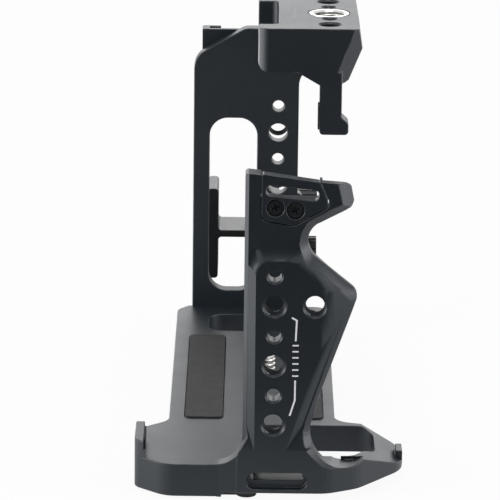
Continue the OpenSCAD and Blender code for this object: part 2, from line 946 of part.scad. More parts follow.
// The front and rear strips that the camera sits on, each grown by g and sunk by depth.
module seat_pad_shapes(g, depth) {
    for (band = [[4 - base_rear, 13.6 - base_rear], [base_front - 9.4, base_front - 3]])
        translate([0, 0, -depth])
            linear_extrude(pad_t + g)
                polygon(slab(left_in + 29.5 - g, band[0] - g, lobe_x - 4 + g, band[1] + g, 1.5));
}

module seat_pads() {
    color(rubber)
        seat_pad_shapes(0, pad_t - pad_proud);
}

module leg_pad_shape(g) {
    along(leg_rear - pad_proud - g, leg_rear + pad_t - pad_proud + g)
        polygon(slab(block_half - leg_w + 1 - g, leg_foot + 1 - g, block_half - 1 + g,
            leg_foot + 7.6 + g, 0.8));
}

module leg_pad_pocket() {
    leg_pad_shape(fit);
}

module leg_pad() {
    color(rubber)
        leg_pad_shape(0);
}

module lip_pad_shape(g) {
    lip_y = -lobe_rear + 2.2;
    along(lip_y - pad_t + pad_proud - g, lip_y + pad_proud + g)
        polygon(slab(right_in - 15.5 - g, 0.6 - g, right_in - 5 + g, rear_lip_h - 0.6 + g, 0.6));
}

module lip_pad_pocket() {
    lip_pad_shape(fit);
}

module lip_pad() {
    color(rubber)
        lip_pad_shape(0);
}

module upright_pad_shape(g) {
    across(right_in - pad_proud - g, right_in + pad_t - pad_proud + g)
        polygon(slab(6.4 - g, 33 - g, 14 + g, 36 + g, 0.8));
}

module upright_pad_pocket() {
    upright_pad_shape(fit);
}

module upright_pad() {
    color(rubber)
        upright_pad_shape(0);
}

module rubber_feet() {
    color(rubber)
        for (p = feet)
            translate([p[0], p[1], under - foot_proud])
                cylinder(r = foot_r, h = foot_h);
}

// ---- Camera screw and hex key ---------------------------------------------------------------

module camera_screw() {
    head_top = screw_well_top - washer_t;
    head_bottom = head_top - screw_head_h;
    color(steel)
        difference() {
            union() {
                translate([0, 0, head_bottom])
                    cylinder(r = screw_head_r, h = screw_head_h);
                // The neck is thinner than the thread, which keeps the screw in the base.
                translate([0, 0, head_top - eps])
                    cylinder(r = screw_neck_r, h = eps - head_top + eps);
                cylinder(r = camera_screw_r, h = camera_screw_proud - 0.5);
                translate([0, 0, camera_screw_proud - 0.5])
                    cylinder(r1 = camera_screw_r, r2 = camera_screw_r - 0.5, h = 0.5);
            }
            // Coin slot and hex socket.
            translate([-screw_head_r - overcut, -0.8, head_bottom - overcut])
                cube([2 * screw_head_r + 2 * overcut, 1.6, overcut + 1.3]);
            translate([0, 0, head_bottom - overcut])
                cylinder(r = 2.35, h = overcut + 2.4, $fn = 6);
        }
}

module screw_washer() {
    color(graphite)
        translate([0, 0, screw_well_top - washer_t])
            difference() {
                cylinder(r = washer_r, h = washer_t);
                translate([0, 0, -overcut])
                    cylinder(r = screw_neck_r + running, h = washer_t + 2 * overcut);
            }
}

// The hex key's two arms, grown by g. The pocket for it is the same shape.
module key_shape(g) {
    r = key_af / sqrt(3);
    translate([key_x0 - g, key_y, key_z])
        rotate([0, 90, 0])
            rotate([0, 0, 30])
                cylinder(r = r, h = key_long + 2 * g, $fn = 6);
    translate([key_x0 + key_long - r - g, key_y - key_af / 2, key_z])
        rotate([-90, 0, 0])
            translate([g, 0, 0])
                cylinder(r = r, h = key_short, $fn = 6);
}

module key_pocket() {
    r = key_af / sqrt(3);
    z0 = under - overcut;
    h = overcut + 0.4 + key_af + key_gap;
    translate([0, 0, z0])
        linear_extrude(h) {
            polygon(slab(key_x0 - key_gap, key_y - r - key_gap, key_x0 + key_long + key_gap,
                key_y + r + key_gap, 0.4));
            polygon(slab(key_x0 + key_long - 2 * r - key_gap, key_y - r - key_gap,
                key_x0 + key_long + key_gap, key_y + key_short + key_gap, 0.4));
            // Finger scoop.
            translate([key_x0 + 15, key_y])
                circle(r = 4.6);
        }
}

module hex_key() {
    color(steel)
        key_shape(0);
}

module key_magnets() {
    color(steel)
        for (x = magnet_x)
            translate([x, key_y, key_z + key_af / 2 + key_gap])
                cylinder(r = magnet_r, h = magnet_h);
}

// ---- Cold shoe ------------------------------------------------------------------------------

module cold_shoe() {
    half = shoe_w / 2;
    t = shoe_floor + shoe_h + shoe_lip;
    mouth_half = half - 3;
    color(black)
        translate([left_out, shoe_y, shoe_top - shoe_l])
            rotate([0, 0, 90])
                difference() {
                    linear_extrude(shoe_l)
                        polygon(rounded([
                            [-half - shoe_wall, 0, 0], [half + shoe_wall, 0, 0], [half + shoe_wall, t, 1],
                            [mouth_half, t, 0.3], [mouth_half, t - shoe_lip, 0],
                            [half, t - shoe_lip, 0], [half, shoe_floor, 0], [-half, shoe_floor, 0],
                            [-half, t - shoe_lip, 0], [-mouth_half, t - shoe_lip, 0],
                            [-mouth_half, t, 0.3], [-half - shoe_wall, t, 1]
                        ]));
                    for (dy = [-1, 1])
                        for (dz = [-1, 1])
                            translate([dy * shoe_screw_dy, shoe_floor, shoe_l / 2 + dz * shoe_screw_dz])
                                rotate([-90, 0, 0])
                                    countersunk_hole(m2_r, m2_head_r, 0.9, 6);
                }
}

module cold_shoe_screws() {
    color(steel)
        for (dy = [-1, 1])
            for (dz = [-1, 1])
                translate([left_out - shoe_floor, shoe_y + dy * shoe_screw_dy,
                    shoe_top - shoe_l / 2 + dz * shoe_screw_dz])
                    rotate([0, -90, 0])
                        countersunk(m2_r, m2_head_r, 0.9, 4.6, 0.75);
}

// ---- Cable clamp ----------------------------------------------------------------------------

module clamp_body() {
    top = clamp_z + clamp_web / 2 + channel_d;
    low = clamp_z - clamp_web / 2 - channel_d;
    rear = channel_rear - clamp_wall;
    front = clamp_y + clamp_front;
    color(graphite)
        difference() {
            union() {
                across(clamp_tip, clamp_x + eps)
                    polygon(rounded([
                        [rear, low, 1], [channel_rear, low, 1],
                        [channel_rear, clamp_z - clamp_web / 2, 1], [clamp_y, clamp_z - clamp_web / 2, 1],
                        [clamp_y, low, 1], [front, low, 1], [front, top, 1], [clamp_y, top, 1],
                        [clamp_y, clamp_z + clamp_web / 2, 1], [channel_rear, clamp_z + clamp_web / 2, 1],
                        [channel_rear, top, 1], [rear, top, 1]
                    ]));
                across(clamp_x, left_out)
                    polygon(slab(clamp_y, low, mount_screw_y + 3.2, top, 1.5));
            }
            for (z = thumb_z)
                translate([thumb_x, front + overcut, z])
                    rotate([90, 0, 0])
                        cylinder(r = thumb_r + running, h = clamp_front + 2 * overcut);
            translate([clamp_x - 6, mount_screw_y, mount_screw_z])
                rotate([0, 90, 0])
                    cylinder(r = m3_r + fit, h = clamp_plate_t + 8);
        }
}

module clamp_mount_screw() {
    color(steel)
        translate([clamp_x, mount_screw_y, mount_screw_z])
            rotate([0, -90, 0])
                difference() {
                    union() {
                        cylinder(r = 2.7, h = 1.9);
                        translate([0, 0, -clamp_plate_t - side_t + 0.3])
                            cylinder(r = m3_r, h = clamp_plate_t + side_t);
                    }
                    translate([0, 0, 0.8])
                        cylinder(r = 1.15, h = 2, $fn = 6);
                }
}

// A clamp jaw at rest against its front wall, for the thumb screw at height z.
module jaw(z) {
    color(graphite)
        difference() {
            translate([clamp_tip + 0.5, clamp_y - jaw_gap - jaw_t, z - jaw_h / 2])
                cube([channel_l - 1, jaw_t, jaw_h]);
            translate([thumb_x, clamp_y, z])
                rotate([90, 0, 0])
                    cylinder(r = thumb_tip_r + running, h = thumb_tip_l + jaw_gap + 0.2);
            // Grooves that grip the cable.
            for (i = [-1:1])
                translate([thumb_x + i * 4, clamp_y - jaw_gap - jaw_t, z - jaw_h])
                    cylinder(r = 0.5, h = 2 * jaw_h, $fn = 16);
        }
}

// A thumb screw with a knurled knob, for height z.
module knob(z) {
    teeth = 16;
    color(steel)
        translate([thumb_x, knob_y, z])
            rotate([-90, 0, 0]) {
                difference() {
                    union() {
                        cylinder(r = knob_r, h = knob_h);
                        translate([0, 0, clamp_y - jaw_gap - knob_y])
                            cylinder(r = thumb_r, h = knob_y - clamp_y + jaw_gap + eps);
                        translate([0, 0, clamp_y - jaw_gap - thumb_tip_l - knob_y])
                            cylinder(r = thumb_tip_r, h = thumb_tip_l + eps);
                    }
                    for (i = [0:teeth - 1])
                        rotate([0, 0, i * 360 / teeth])
                            translate([knob_r + 0.25, 0, 0.8])
                                cylinder(r = 0.6, h = knob_h, $fn = 16);
                    translate([0, 0, knob_h - 1])
                        cylinder(r = 1.6, h = 2, $fn = 6);
                }
            }
}

module upper_jaw() {
    jaw(thumb_z[0]);
}

module lower_jaw() {
    jaw(thumb_z[1]);
}

module upper_knob() {
    knob(thumb_z[0]);
}

module lower_knob() {
    knob(thumb_z[1]);
}

main_frame();
side_frame();
bridge();
strap_bracket();
strap_bracket_screws();
top_insert();
tripod_insert();
side_frame_screws();
side_frame_dowels();
bridge_screws();
leg_pad();
seat_pads();
lip_pad();
upright_pad();
rubber_feet();
camera_screw();
screw_washer();
hex_key();
key_magnets();
cold_shoe();
cold_shoe_screws();
clamp_body();
clamp_mount_screw();
upper_jaw();
upper_knob();
lower_jaw();
lower_knob();
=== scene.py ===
"""Dresses the camera cage: machined edges, finishes, threads, knurls and marks, in a plain white studio.

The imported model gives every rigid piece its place. Each piece here is a finished copy of such a piece, or
something that sits on one, such as a thread in a hole or a painted mark.
"""

from __future__ import annotations

import logging
import math
from dataclasses import dataclass, field
from enum import Enum
from typing import Callable, Iterable

import bmesh
import bpy
import numpy as np
from mathutils import Matrix, Vector
from mathutils.bvhtree import BVHTree
from mathutils.geometry import delaunay_2d_cdt

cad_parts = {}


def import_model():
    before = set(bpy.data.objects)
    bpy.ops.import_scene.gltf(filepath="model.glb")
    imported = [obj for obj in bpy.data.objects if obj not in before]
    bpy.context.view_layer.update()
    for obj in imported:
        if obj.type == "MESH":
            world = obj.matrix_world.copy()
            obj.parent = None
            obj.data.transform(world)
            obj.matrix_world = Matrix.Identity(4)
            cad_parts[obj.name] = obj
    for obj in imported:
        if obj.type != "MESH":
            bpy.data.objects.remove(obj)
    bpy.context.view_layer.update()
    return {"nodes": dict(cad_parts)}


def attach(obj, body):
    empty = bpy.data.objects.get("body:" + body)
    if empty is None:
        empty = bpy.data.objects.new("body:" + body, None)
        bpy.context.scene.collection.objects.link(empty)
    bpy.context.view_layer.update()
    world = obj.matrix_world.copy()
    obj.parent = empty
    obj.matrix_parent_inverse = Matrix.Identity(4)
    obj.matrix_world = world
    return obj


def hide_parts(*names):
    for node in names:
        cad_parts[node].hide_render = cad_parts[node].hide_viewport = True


log = logging.getLogger("camera_cage")

MM = 0.001
QUARTER_PITCH = 25.4 / 20
THREE8_PITCH = 25.4 / 16
MEETING_MM = 0.0012
SHORTEST_MM = 0.0008
FLAT_DEG = 0.4
FLAT_DOT = 0.99999
TRIES = 8
STRAY_OFFSET = 0.75
STRAY_REACH = 1.3
STRAY_DOT = 0.25
TIGHT_REACH = 1.6
Colour = tuple[float, float, float]
Point = tuple[float, float, float]


class Body(Enum):
    """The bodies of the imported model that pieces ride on."""

    FRAME = "frame"
    WASHER = "washer"
    SCREW = "screw"
    KEY = "key"
    UPPER_JAW = "upper_jaw"
    UPPER_KNOB = "upper_knob"
    LOWER_JAW = "lower_jaw"
    LOWER_KNOB = "lower_knob"


class Axis(Enum):
    """Directions that holes, threads and knobs point in."""

    OUT_OF_GRIP_SIDE = (1.0, 0.0, 0.0)
    OUT_OF_PORT_SIDE = (-1.0, 0.0, 0.0)
    FORWARD = (0.0, 1.0, 0.0)
    UP = (0.0, 0.0, 1.0)


def add_object(name: str, data: bpy.types.ID) -> bpy.types.Object:
    """Puts a new object into the scene.

    Args:
        name: its name.
        data: its mesh, lamp or camera.

    Returns:
        The object.
    """
    thing = bpy.data.objects.new(name, data)
    bpy.context.scene.collection.objects.link(thing)
    return thing


# ---- Node trees -----------------------------------------------------------------------------------


class Nodes:
    """Adds nodes to a node tree and wires them up."""

    def __init__(self, tree: bpy.types.NodeTree) -> None:
        """Starts on a tree.

        Args:
            tree: the shader or geometry tree to add to.
        """
        self.tree = tree
        self.count = 0

    def add(self, kind: str, **settings: object) -> bpy.types.Node:
        """Adds a node.

        Args:
            kind: the node's type name.
            settings: attributes of the node, such as operation.

        Returns:
            The new node.
        """
        node = self.tree.nodes.new(kind)
        node.location = (180 * (self.count % 12), -240 * (self.count // 12))
        self.count += 1
        for key, value in settings.items():
            setattr(node, key, value)
        return node

    def put(self, source: object, socket: bpy.types.NodeSocket) -> None:
        """Feeds a socket from another socket, or sets its plain value."""
        if isinstance(source, bpy.types.NodeSocket):
            self.tree.links.new(source, socket)
        else:
            socket.default_value = source

    def math(self, operation: str, a: object, b: object = 0.0, clamp: bool = False) -> bpy.types.NodeSocket:
        """Adds a Math node.

        Args:
            operation: the node's operation.
            a: first value or socket.
            b: second value or socket.
            clamp: whether the result is kept from 0 to 1.

        Returns:
            The result's socket.
        """
        node = self.add("ShaderNodeMath", operation=operation, use_clamp=clamp)
        self.put(a, node.inputs[0])
        self.put(b, node.inputs[1])
        return node.outputs[0]

    def spread(self, value: object, low: object, high: object) -> bpy.types.NodeSocket:
        """Stretches a value from 0..1 to low..high.

        Args:
            value: the value or socket from 0 to 1.
            low: what 0 becomes.
            high: what 1 becomes.

        Returns:
            The stretched value's socket.
        """
        node = self.add("ShaderNodeMapRange", clamp=True)
        self.put(value, node.inputs["Value"])
        self.put(low, node.inputs["To Min"])
        self.put(high, node.inputs["To Max"])
        return node.outputs["Result"]

    def window(self, value: object, start: object, end: object) -> bpy.types.NodeSocket:
        """Turns a value into a smooth step that is 0 at start and 1 at end.

        Args:
            value: the value or socket.
            start: where the step begins.
            end: where the step ends.

        Returns:
            The step's socket.
        """
        node = self.add("ShaderNodeMapRange", clamp=True, interpolation_type="SMOOTHSTEP")
        self.put(value, node.inputs["Value"])
        self.put(start, node.inputs["From Min"])
        self.put(end, node.inputs["From Max"])
        return node.outputs["Result"]

    def blend(self, share: object, a: object, b: object) -> bpy.types.NodeSocket:
        """Mixes two colours.

        Args:
            share: how much of b.
            a: first colour or socket.
            b: second colour or socket.

        Returns:
            The mixed colour's socket.
        """
        node = self.add("ShaderNodeMix", data_type="RGBA")
        self.put(share, node.inputs[0])
        for source, socket in ((a, node.inputs[6]), (b, node.inputs[7])):
            self.put((*source, 1.0) if isinstance(source, tuple) and len(source) == 3 else source, socket)
        return node.outputs[2]

    def seen_directly(self) -> bpy.types.NodeSocket:
        """Whether a ray comes from the camera, a mirror reflection or through glass.

        Returns:
            A socket that is 1 for such rays and 0 for the rest, which carry light.
        """
        rays = self.add("ShaderNodeLightPath")
        bounced = self.math("MAXIMUM", rays.outputs["Is Glossy Ray"], rays.outputs["Is Transmission Ray"])
        return self.math("MAXIMUM", rays.outputs["Is Camera Ray"], bounced)


def blank_material(name: str) -> tuple[bpy.types.Material, Nodes]:
    """Makes a material with no nodes yet.

    Args:
        name: its name.

    Returns:
        The material and its node adder.
    """
    material = bpy.data.materials.new(name)
    material.use_nodes = True
    material.node_tree.nodes.clear()
    return material, Nodes(material.node_tree)


def blank_group(name: str, kind: str, inputs: dict[str, tuple[str, object]],
                outputs: dict[str, str]) -> tuple[Nodes, dict, dict]:
    """Starts a node group.

    Args:
        name: the group's name.
        kind: the tree's type name.
        inputs: each input's socket type and first value.
        outputs: each output's socket type.

    Returns:
        The node adder, the input sockets and the output sockets by name.
    """
    tree = bpy.data.node_groups.new(name, kind)
    for label, (socket_kind, value) in inputs.items():
        socket = tree.interface.new_socket(label, in_out="INPUT", socket_type=socket_kind)
        if value is not None:
            socket.default_value = value
    for label, socket_kind in outputs.items():
        tree.interface.new_socket(label, in_out="OUTPUT", socket_type=socket_kind)
    nodes = Nodes(tree)
    source, sink = nodes.add("NodeGroupInput"), nodes.add("NodeGroupOutput")
    return nodes, {s.name: s for s in source.outputs if s.name}, {s.name: s for s in sink.inputs if s.name}


class EffectGroups:
    """Shader groups for effects that several finishes share."""

    def __init__(self) -> None:
        """Builds every group once."""
        self.grain = self._grain()
        self.drift = self._drift()
        self.edge_wear_and_glint = self._edge_wear_and_glint()
        self.rings = self._rings()

    def _grain(self) -> bpy.types.NodeTree:
        """Fine blasted or moulded grain.

        Returns:
            A group that puts out Height and Fleck, both from 0 to 1.
        """
        nodes, given, out = blank_group(
            "fine_grain", "ShaderNodeTree",
            {"Place": ("NodeSocketVector", None), "Grains per Metre": ("NodeSocketFloat", 9000.0),
             "Coarse Share": ("NodeSocketFloat", 0.35)},
            {"Height": "NodeSocketFloat", "Fleck": "NodeSocketFloat"},
        )
        fine = nodes.add("ShaderNodeTexNoise")
        fine.inputs["Detail"].default_value = 2.0
        pits = nodes.add("ShaderNodeTexVoronoi", feature="SMOOTH_F1")
        for texture in (fine, pits):
            nodes.put(given["Place"], texture.inputs["Vector"])
        nodes.put(given["Grains per Metre"], fine.inputs["Scale"])
        nodes.put(nodes.math("MULTIPLY", given["Grains per Metre"], 0.6), pits.inputs["Scale"])
        coarse = nodes.math("MULTIPLY", pits.outputs["Distance"], given["Coarse Share"])
        nodes.put(nodes.math("ADD", fine.outputs["Fac"], coarse, clamp=True), out["Height"])
        nodes.put(nodes.window(fine.outputs["Fac"], 0.42, 0.72), out["Fleck"])
        return nodes.tree

    def _drift(self) -> bpy.types.NodeTree:
        """Slow change over a surface, as from handling and uneven dye.

        Returns:
            A group that puts out Value, from Low to High.
        """
        nodes, given, out = blank_group(
            "slow_drift", "ShaderNodeTree",
            {"Place": ("NodeSocketVector", None), "Patches per Metre": ("NodeSocketFloat", 60.0),
             "Low": ("NodeSocketFloat", 0.0), "High": ("NodeSocketFloat", 1.0)},
            {"Value": "NodeSocketFloat"},
        )
        noise = nodes.add("ShaderNodeTexNoise")
        noise.inputs["Detail"].default_value = 3.0
        noise.inputs["Distortion"].default_value = 0.4
        nodes.put(given["Place"], noise.inputs["Vector"])
        nodes.put(given["Patches per Metre"], noise.inputs["Scale"])
        step = nodes.window(noise.outputs["Fac"], 0.3, 0.7)
        nodes.put(nodes.spread(step, given["Low"], given["High"]), out["Value"])
        return nodes.tree

    def _edge_wear_and_glint(self) -> bpy.types.NodeTree:
        """Edges made a little brighter: partly rubbed, partly a painted highlight that stands in for glints
        along edges.

        Returns:
            A group that puts out Mask, from 0 on flats to Amount on rubbed edges that also carry the painted
            highlight.
        """
        nodes, given, out = blank_group(
            "edge_wear_and_glint_mask", "ShaderNodeTree",
            {"Edge": ("NodeSocketFloat", 0.0), "Place": ("NodeSocketVector", None),
             "Patches per Metre": ("NodeSocketFloat", 220.0), "Amount": ("NodeSocketFloat", 0.3)},
            {"Mask": "NodeSocketFloat"},
        )
        noise = nodes.add("ShaderNodeTexNoise")
        noise.inputs["Detail"].default_value = 4.0
        nodes.put(given["Place"], noise.inputs["Vector"])
        nodes.put(given["Patches per Metre"], noise.inputs["Scale"])
        rubbed = nodes.window(noise.outputs["Fac"], 0.35, 0.75)
        edge = nodes.math("MULTIPLY", given["Edge"], rubbed)
        nodes.put(nodes.math("MULTIPLY", edge, given["Amount"], clamp=True), out["Mask"])
        return nodes.tree

    def _rings(self) -> bpy.types.NodeTree:
        """Turning marks left by a lathe, as rings round the centre of Place.

        Returns:
            A group that puts out Height, from 0 to 1.
        """
        nodes, given, out = blank_group(
            "lathe_rings", "ShaderNodeTree",
            {"Place": ("NodeSocketVector", None), "Rings per Metre": ("NodeSocketFloat", 5000.0)},
            {"Height": "NodeSocketFloat"},
        )
        radius = nodes.add("ShaderNodeVectorMath", operation="LENGTH")
        nodes.put(given["Place"], radius.inputs[0])
        turns = nodes.math("MULTIPLY", radius.outputs["Value"], given["Rings per Metre"])
        wave = nodes.math("SINE", nodes.math("MULTIPLY", turns, math.tau))
        nodes.put(nodes.math("ADD", nodes.math("MULTIPLY", wave, 0.5), 0.5), out["Height"])
        return nodes.tree


# ---- Finishes -------------------------------------------------------------------------------------


class Finish:
    """What every finish shares: one material with a Principled shader fed by the effect groups."""

    name: str

    def start(self) -> tuple[bpy.types.Material, Nodes, bpy.types.Node, bpy.types.NodeSocket]:
        """Makes the material.

        Returns:
            The material, its node adder, its shader and the socket with the place on the surface.
        """
        material, nodes = blank_material(self.name)
        shader, output = nodes.add("ShaderNodeBsdfPrincipled"), nodes.add("ShaderNodeOutputMaterial")
        nodes.put(shader.outputs["BSDF"], output.inputs["Surface"])
        place = nodes.add("ShaderNodeTexCoord").outputs["Object"]
        return material, nodes, shader, place

    @staticmethod
    def effect(nodes: Nodes, group: bpy.types.NodeTree, **given: object) -> bpy.types.Node:
        """Places a group.

        Args:
            nodes: the material's node adder.
            group: the effect's tree.
            given: its inputs, with underscores for the spaces in their names.

        Returns:
            The group's node.
        """
        node = nodes.add("ShaderNodeGroup", node_tree=group)
        for key, value in given.items():
            nodes.put(value, node.inputs[key.replace("_", " ")])
        return node

    @staticmethod
    def bump(nodes: Nodes, shader: bpy.types.Node, height: object, depth_mm: float) -> None:
        """Feeds the shader's normal from a height.

        Args:
            nodes: the material's node adder.
            shader: the Principled shader.
            height: the height's socket, from 0 to 1.
            depth_mm: how deep a height of 1 is.
        """
        node = nodes.add("ShaderNodeBump")
        node.inputs["Strength"].default_value = 1.0
        node.inputs["Distance"].default_value = depth_mm * MM
        nodes.put(height, node.inputs["Height"])
        nodes.put(node.outputs["Normal"], shader.inputs["Normal"])


@dataclass(frozen=True)
class AnodisedAlloy(Finish):
    """Bead-blasted aluminium with a matt black anodised skin."""

    name: str
    colour: Colour
    # Colour of the edge strips: partly rubbed metal, partly a painted highlight for glints along edges.
    wear_and_glint: Colour
    roughness: float
    gloss: float
    grains: float = 7000.0
    grain_mm: float = 0.006
    edge_wear_and_glint: float = 0.5
    tint: Colour = (0.93, 0.955, 1.0)
    uneven: float = 0.012
    fleck_share: float = 0.2
    fleck_gain: float = 2.6
    fleck_dulls: float = 0.03
    wear_polishes: float = 0.12

    def build(self, effects: EffectGroups) -> bpy.types.Material:
        """Makes the material.

        Args:
            effects: the shared groups.

        Returns:
            The material.
        """
        material, nodes, shader, place = self.start()
        edge = nodes.add("ShaderNodeAttribute", attribute_name="edge").outputs["Fac"]
        grain = self.effect(nodes, effects.grain, Place=place, Grains_per_Metre=self.grains)
        dye = self.effect(nodes, effects.drift, Place=place, Patches_per_Metre=45.0, Low=0.0, High=0.3)
        touch = self.effect(nodes, effects.drift, Place=place, Patches_per_Metre=90.0,
                            Low=self.roughness - self.uneven, High=self.roughness + self.uneven)
        # The edge strips get a paler colour: partly rubbing, partly a painted highlight that stands in for
        # glints along edges.
        wear_and_glint = self.effect(nodes, effects.edge_wear_and_glint, Edge=edge, Place=place, Amount=self.edge_wear_and_glint)
        lighter = tuple(c * 1.5 for c in self.colour)
        body = nodes.blend(dye.outputs["Value"], self.colour, lighter)
        specks = tuple(c * self.fleck_gain for c in self.colour)
        flecked = nodes.blend(nodes.math("MULTIPLY", grain.outputs["Fleck"], self.fleck_share), body, specks)
        nodes.put(nodes.blend(wear_and_glint.outputs["Mask"], flecked, self.wear_and_glint), shader.inputs["Base Color"])
        polished = nodes.math("MULTIPLY", wear_and_glint.outputs["Mask"], self.wear_polishes)
        dulled = nodes.math("MULTIPLY", grain.outputs["Fleck"], self.fleck_dulls)
        rough = nodes.math("SUBTRACT", touch.outputs["Value"], polished)
        nodes.put(nodes.math("ADD", rough, dulled), shader.inputs["Roughness"])
        shader.inputs["Specular IOR Level"].default_value = self.gloss
        shader.inputs["Specular Tint"].default_value = (*self.tint, 1.0)
        self.bump(nodes, shader, grain.outputs["Height"], self.grain_mm)
        return material


@dataclass(frozen=True)
class TurnedSteel(Finish):
    """Stainless or nickel-plated steel with fine turning marks."""

    name: str
    colour: Colour
    roughness: float
    centre: Point = (0.0, 0.0, 0.0)
    marks_mm: float = 0.0015

    def build(self, effects: EffectGroups) -> bpy.types.Material:
        """Makes the material.

        Args:
            effects: the shared groups.

        Returns:
            The material.
        """
        material, nodes, shader, place = self.start()
        shift = nodes.add("ShaderNodeMapping", vector_type="POINT")
        shift.inputs["Location"].default_value = tuple(-c * MM for c in self.centre)
        nodes.put(place, shift.inputs["Vector"])
        rings = self.effect(nodes, effects.rings, Place=shift.outputs["Vector"], Rings_per_Metre=4200.0)
        stain = self.effect(nodes, effects.drift, Place=place, Patches_per_Metre=260.0, Low=0.0, High=0.35)
        touch = self.effect(nodes, effects.drift, Place=place, Patches_per_Metre=420.0,
                            Low=self.roughness - 0.05, High=self.roughness + 0.07)
        darker = tuple(c * 0.72 for c in self.colour)
        nodes.put(nodes.blend(stain.outputs["Value"], self.colour, darker), shader.inputs["Base Color"])
        nodes.put(touch.outputs["Value"], shader.inputs["Roughness"])
        shader.inputs["Metallic"].default_value = 1.0
        self.bump(nodes, shader, rings.outputs["Height"], self.marks_mm)
        return material


@dataclass(frozen=True)
class BlackOxideSteel(Finish):
    """Small black screws, a little shinier than the alloy round them."""

    name: str
    colour: Colour = (0.0085, 0.0095, 0.011)
    wear_and_glint: Colour = (0.07, 0.071, 0.075)
    roughness: float = 0.3

    def build(self, effects: EffectGroups) -> bpy.types.Material:
        """Makes the material.

        Args:
            effects: the shared groups.

        Returns:
            The material.
        """
        material, nodes, shader, place = self.start()
        edge = nodes.add("ShaderNodeAttribute", attribute_name="edge").outputs["Fac"]
        wear_and_glint = self.effect(nodes, effects.edge_wear_and_glint, Edge=edge, Place=place, Patches_per_Metre=900.0, Amount=0.35)
        touch = self.effect(nodes, effects.drift, Place=place, Patches_per_Metre=500.0,
                            Low=self.roughness - 0.05, High=self.roughness + 0.08)
        nodes.put(nodes.blend(wear_and_glint.outputs["Mask"], self.colour, self.wear_and_glint), shader.inputs["Base Color"])
        nodes.put(touch.outputs["Value"], shader.inputs["Roughness"])
        grain = self.effect(nodes, effects.grain, Place=place, Grains_per_Metre=14000.0)
        self.bump(nodes, shader, grain.outputs["Height"], 0.003)
        return material


@dataclass(frozen=True)
class SoftPolymer(Finish):
    """Moulded rubber or nylon with a faint matt grain."""

    name: str
    colour: Colour
    roughness: float
    grain_mm: float = 0.02

    def build(self, effects: EffectGroups) -> bpy.types.Material:
        """Makes the material.

        Args:
            effects: the shared groups.

        Returns:
            The material.
        """
        material, nodes, shader, place = self.start()
        grain = self.effect(nodes, effects.grain, Place=place, Grains_per_Metre=3200.0, Coarse_Share=0.6)
        dust = self.effect(nodes, effects.drift, Place=place, Patches_per_Metre=300.0, Low=0.0, High=0.4)
        dusty = tuple(min(1.0, c * 2.2 + 0.01) for c in self.colour)
        nodes.put(nodes.blend(dust.outputs["Value"], self.colour, dusty), shader.inputs["Base Color"])
        nodes.put(nodes.math("ADD", self.roughness, nodes.math("MULTIPLY", grain.outputs["Fleck"], 0.08)),
                  shader.inputs["Roughness"])
        shader.inputs["Specular IOR Level"].default_value = 0.35
        self.bump(nodes, shader, grain.outputs["Height"], self.grain_mm)
        return material


@dataclass(frozen=True)
class ScreenInk(Finish):
    """Thin printed ink with slightly uneven cover."""

    name: str
    colour: Colour
    roughness: float = 0.5

    def build(self, effects: EffectGroups) -> bpy.types.Material:
        """Makes the material.

        Args:
            effects: the shared groups.

        Returns:
            The material.
        """
        material, nodes, shader, place = self.start()
        cover = self.effect(nodes, effects.drift, Place=place, Patches_per_Metre=2600.0, Low=0.0, High=0.3)
        nodes.put(nodes.blend(cover.outputs["Value"], self.colour, tuple(c * 0.6 for c in self.colour)),
                  shader.inputs["Base Color"])
        nodes.put(nodes.math("ADD", self.roughness, nodes.math("MULTIPLY", cover.outputs["Value"], 0.3)),
                  shader.inputs["Roughness"])
        return material


class FinishSet:
    """Every finish of the cage, built once."""

    def __init__(self) -> None:
        """Builds the materials."""
        effects = EffectGroups()
        finishes = (
            # Each alloy's second colour paints its edge strips paler: partly rubbing, partly a painted
            # highlight.
            AnodisedAlloy("black_alloy", (0.0063, 0.0093, 0.0122), (0.11, 0.113, 0.12), 0.42, 0.48),
            AnodisedAlloy("clamp_alloy", (0.0078, 0.0097, 0.012), (0.1, 0.102, 0.106), 0.4, 0.48),
            BlackOxideSteel("black_steel"),
            TurnedSteel("bright_steel", (0.66, 0.655, 0.64), 0.24),
            TurnedSteel("insert_steel", (0.72, 0.715, 0.7), 0.2, (0.0, 15.6, 96.8)),
            TurnedSteel("magnet_nickel", (0.6, 0.58, 0.54), 0.18, marks_mm=0.0008),
            SoftPolymer("pad_rubber", (0.009, 0.009, 0.0095), 0.7),
            SoftPolymer("washer_nylon", (0.02, 0.02, 0.021), 0.45, 0.006),
            ScreenInk("white_ink", (0.72, 0.72, 0.74)),
            ScreenInk("grey_ink", (0.5, 0.5, 0.52)),
        )
        self.made = {finish.name: finish.build(effects) for finish in finishes}

    def __getitem__(self, name: str) -> bpy.types.Material:
        """The material of a finish."""
        return self.made[name]


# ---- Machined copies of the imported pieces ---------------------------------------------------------


@dataclass(frozen=True)
class EdgeBreak:
    """A broken edge: which edges, how wide and how round.

    Attributes:
        width_mm: width of the rounded strip on each side of the edge.
        segments: how many strips it is made of.
        sharper_than: the least bend in degrees of an edge that is broken.
        only: a test on the middle of an edge, in millimetres, or None for every such edge.
    """

    width_mm: float
    segments: int
    sharper_than: float = 32.0
    only: Callable[[Vector], bool] | None = None


def fine(width_mm: float) -> tuple[EdgeBreak, ...]:
    """The edge break of small and turned pieces, whose facets stay as they are."""
    return (EdgeBreak(width_mm, 2, 50.0),)


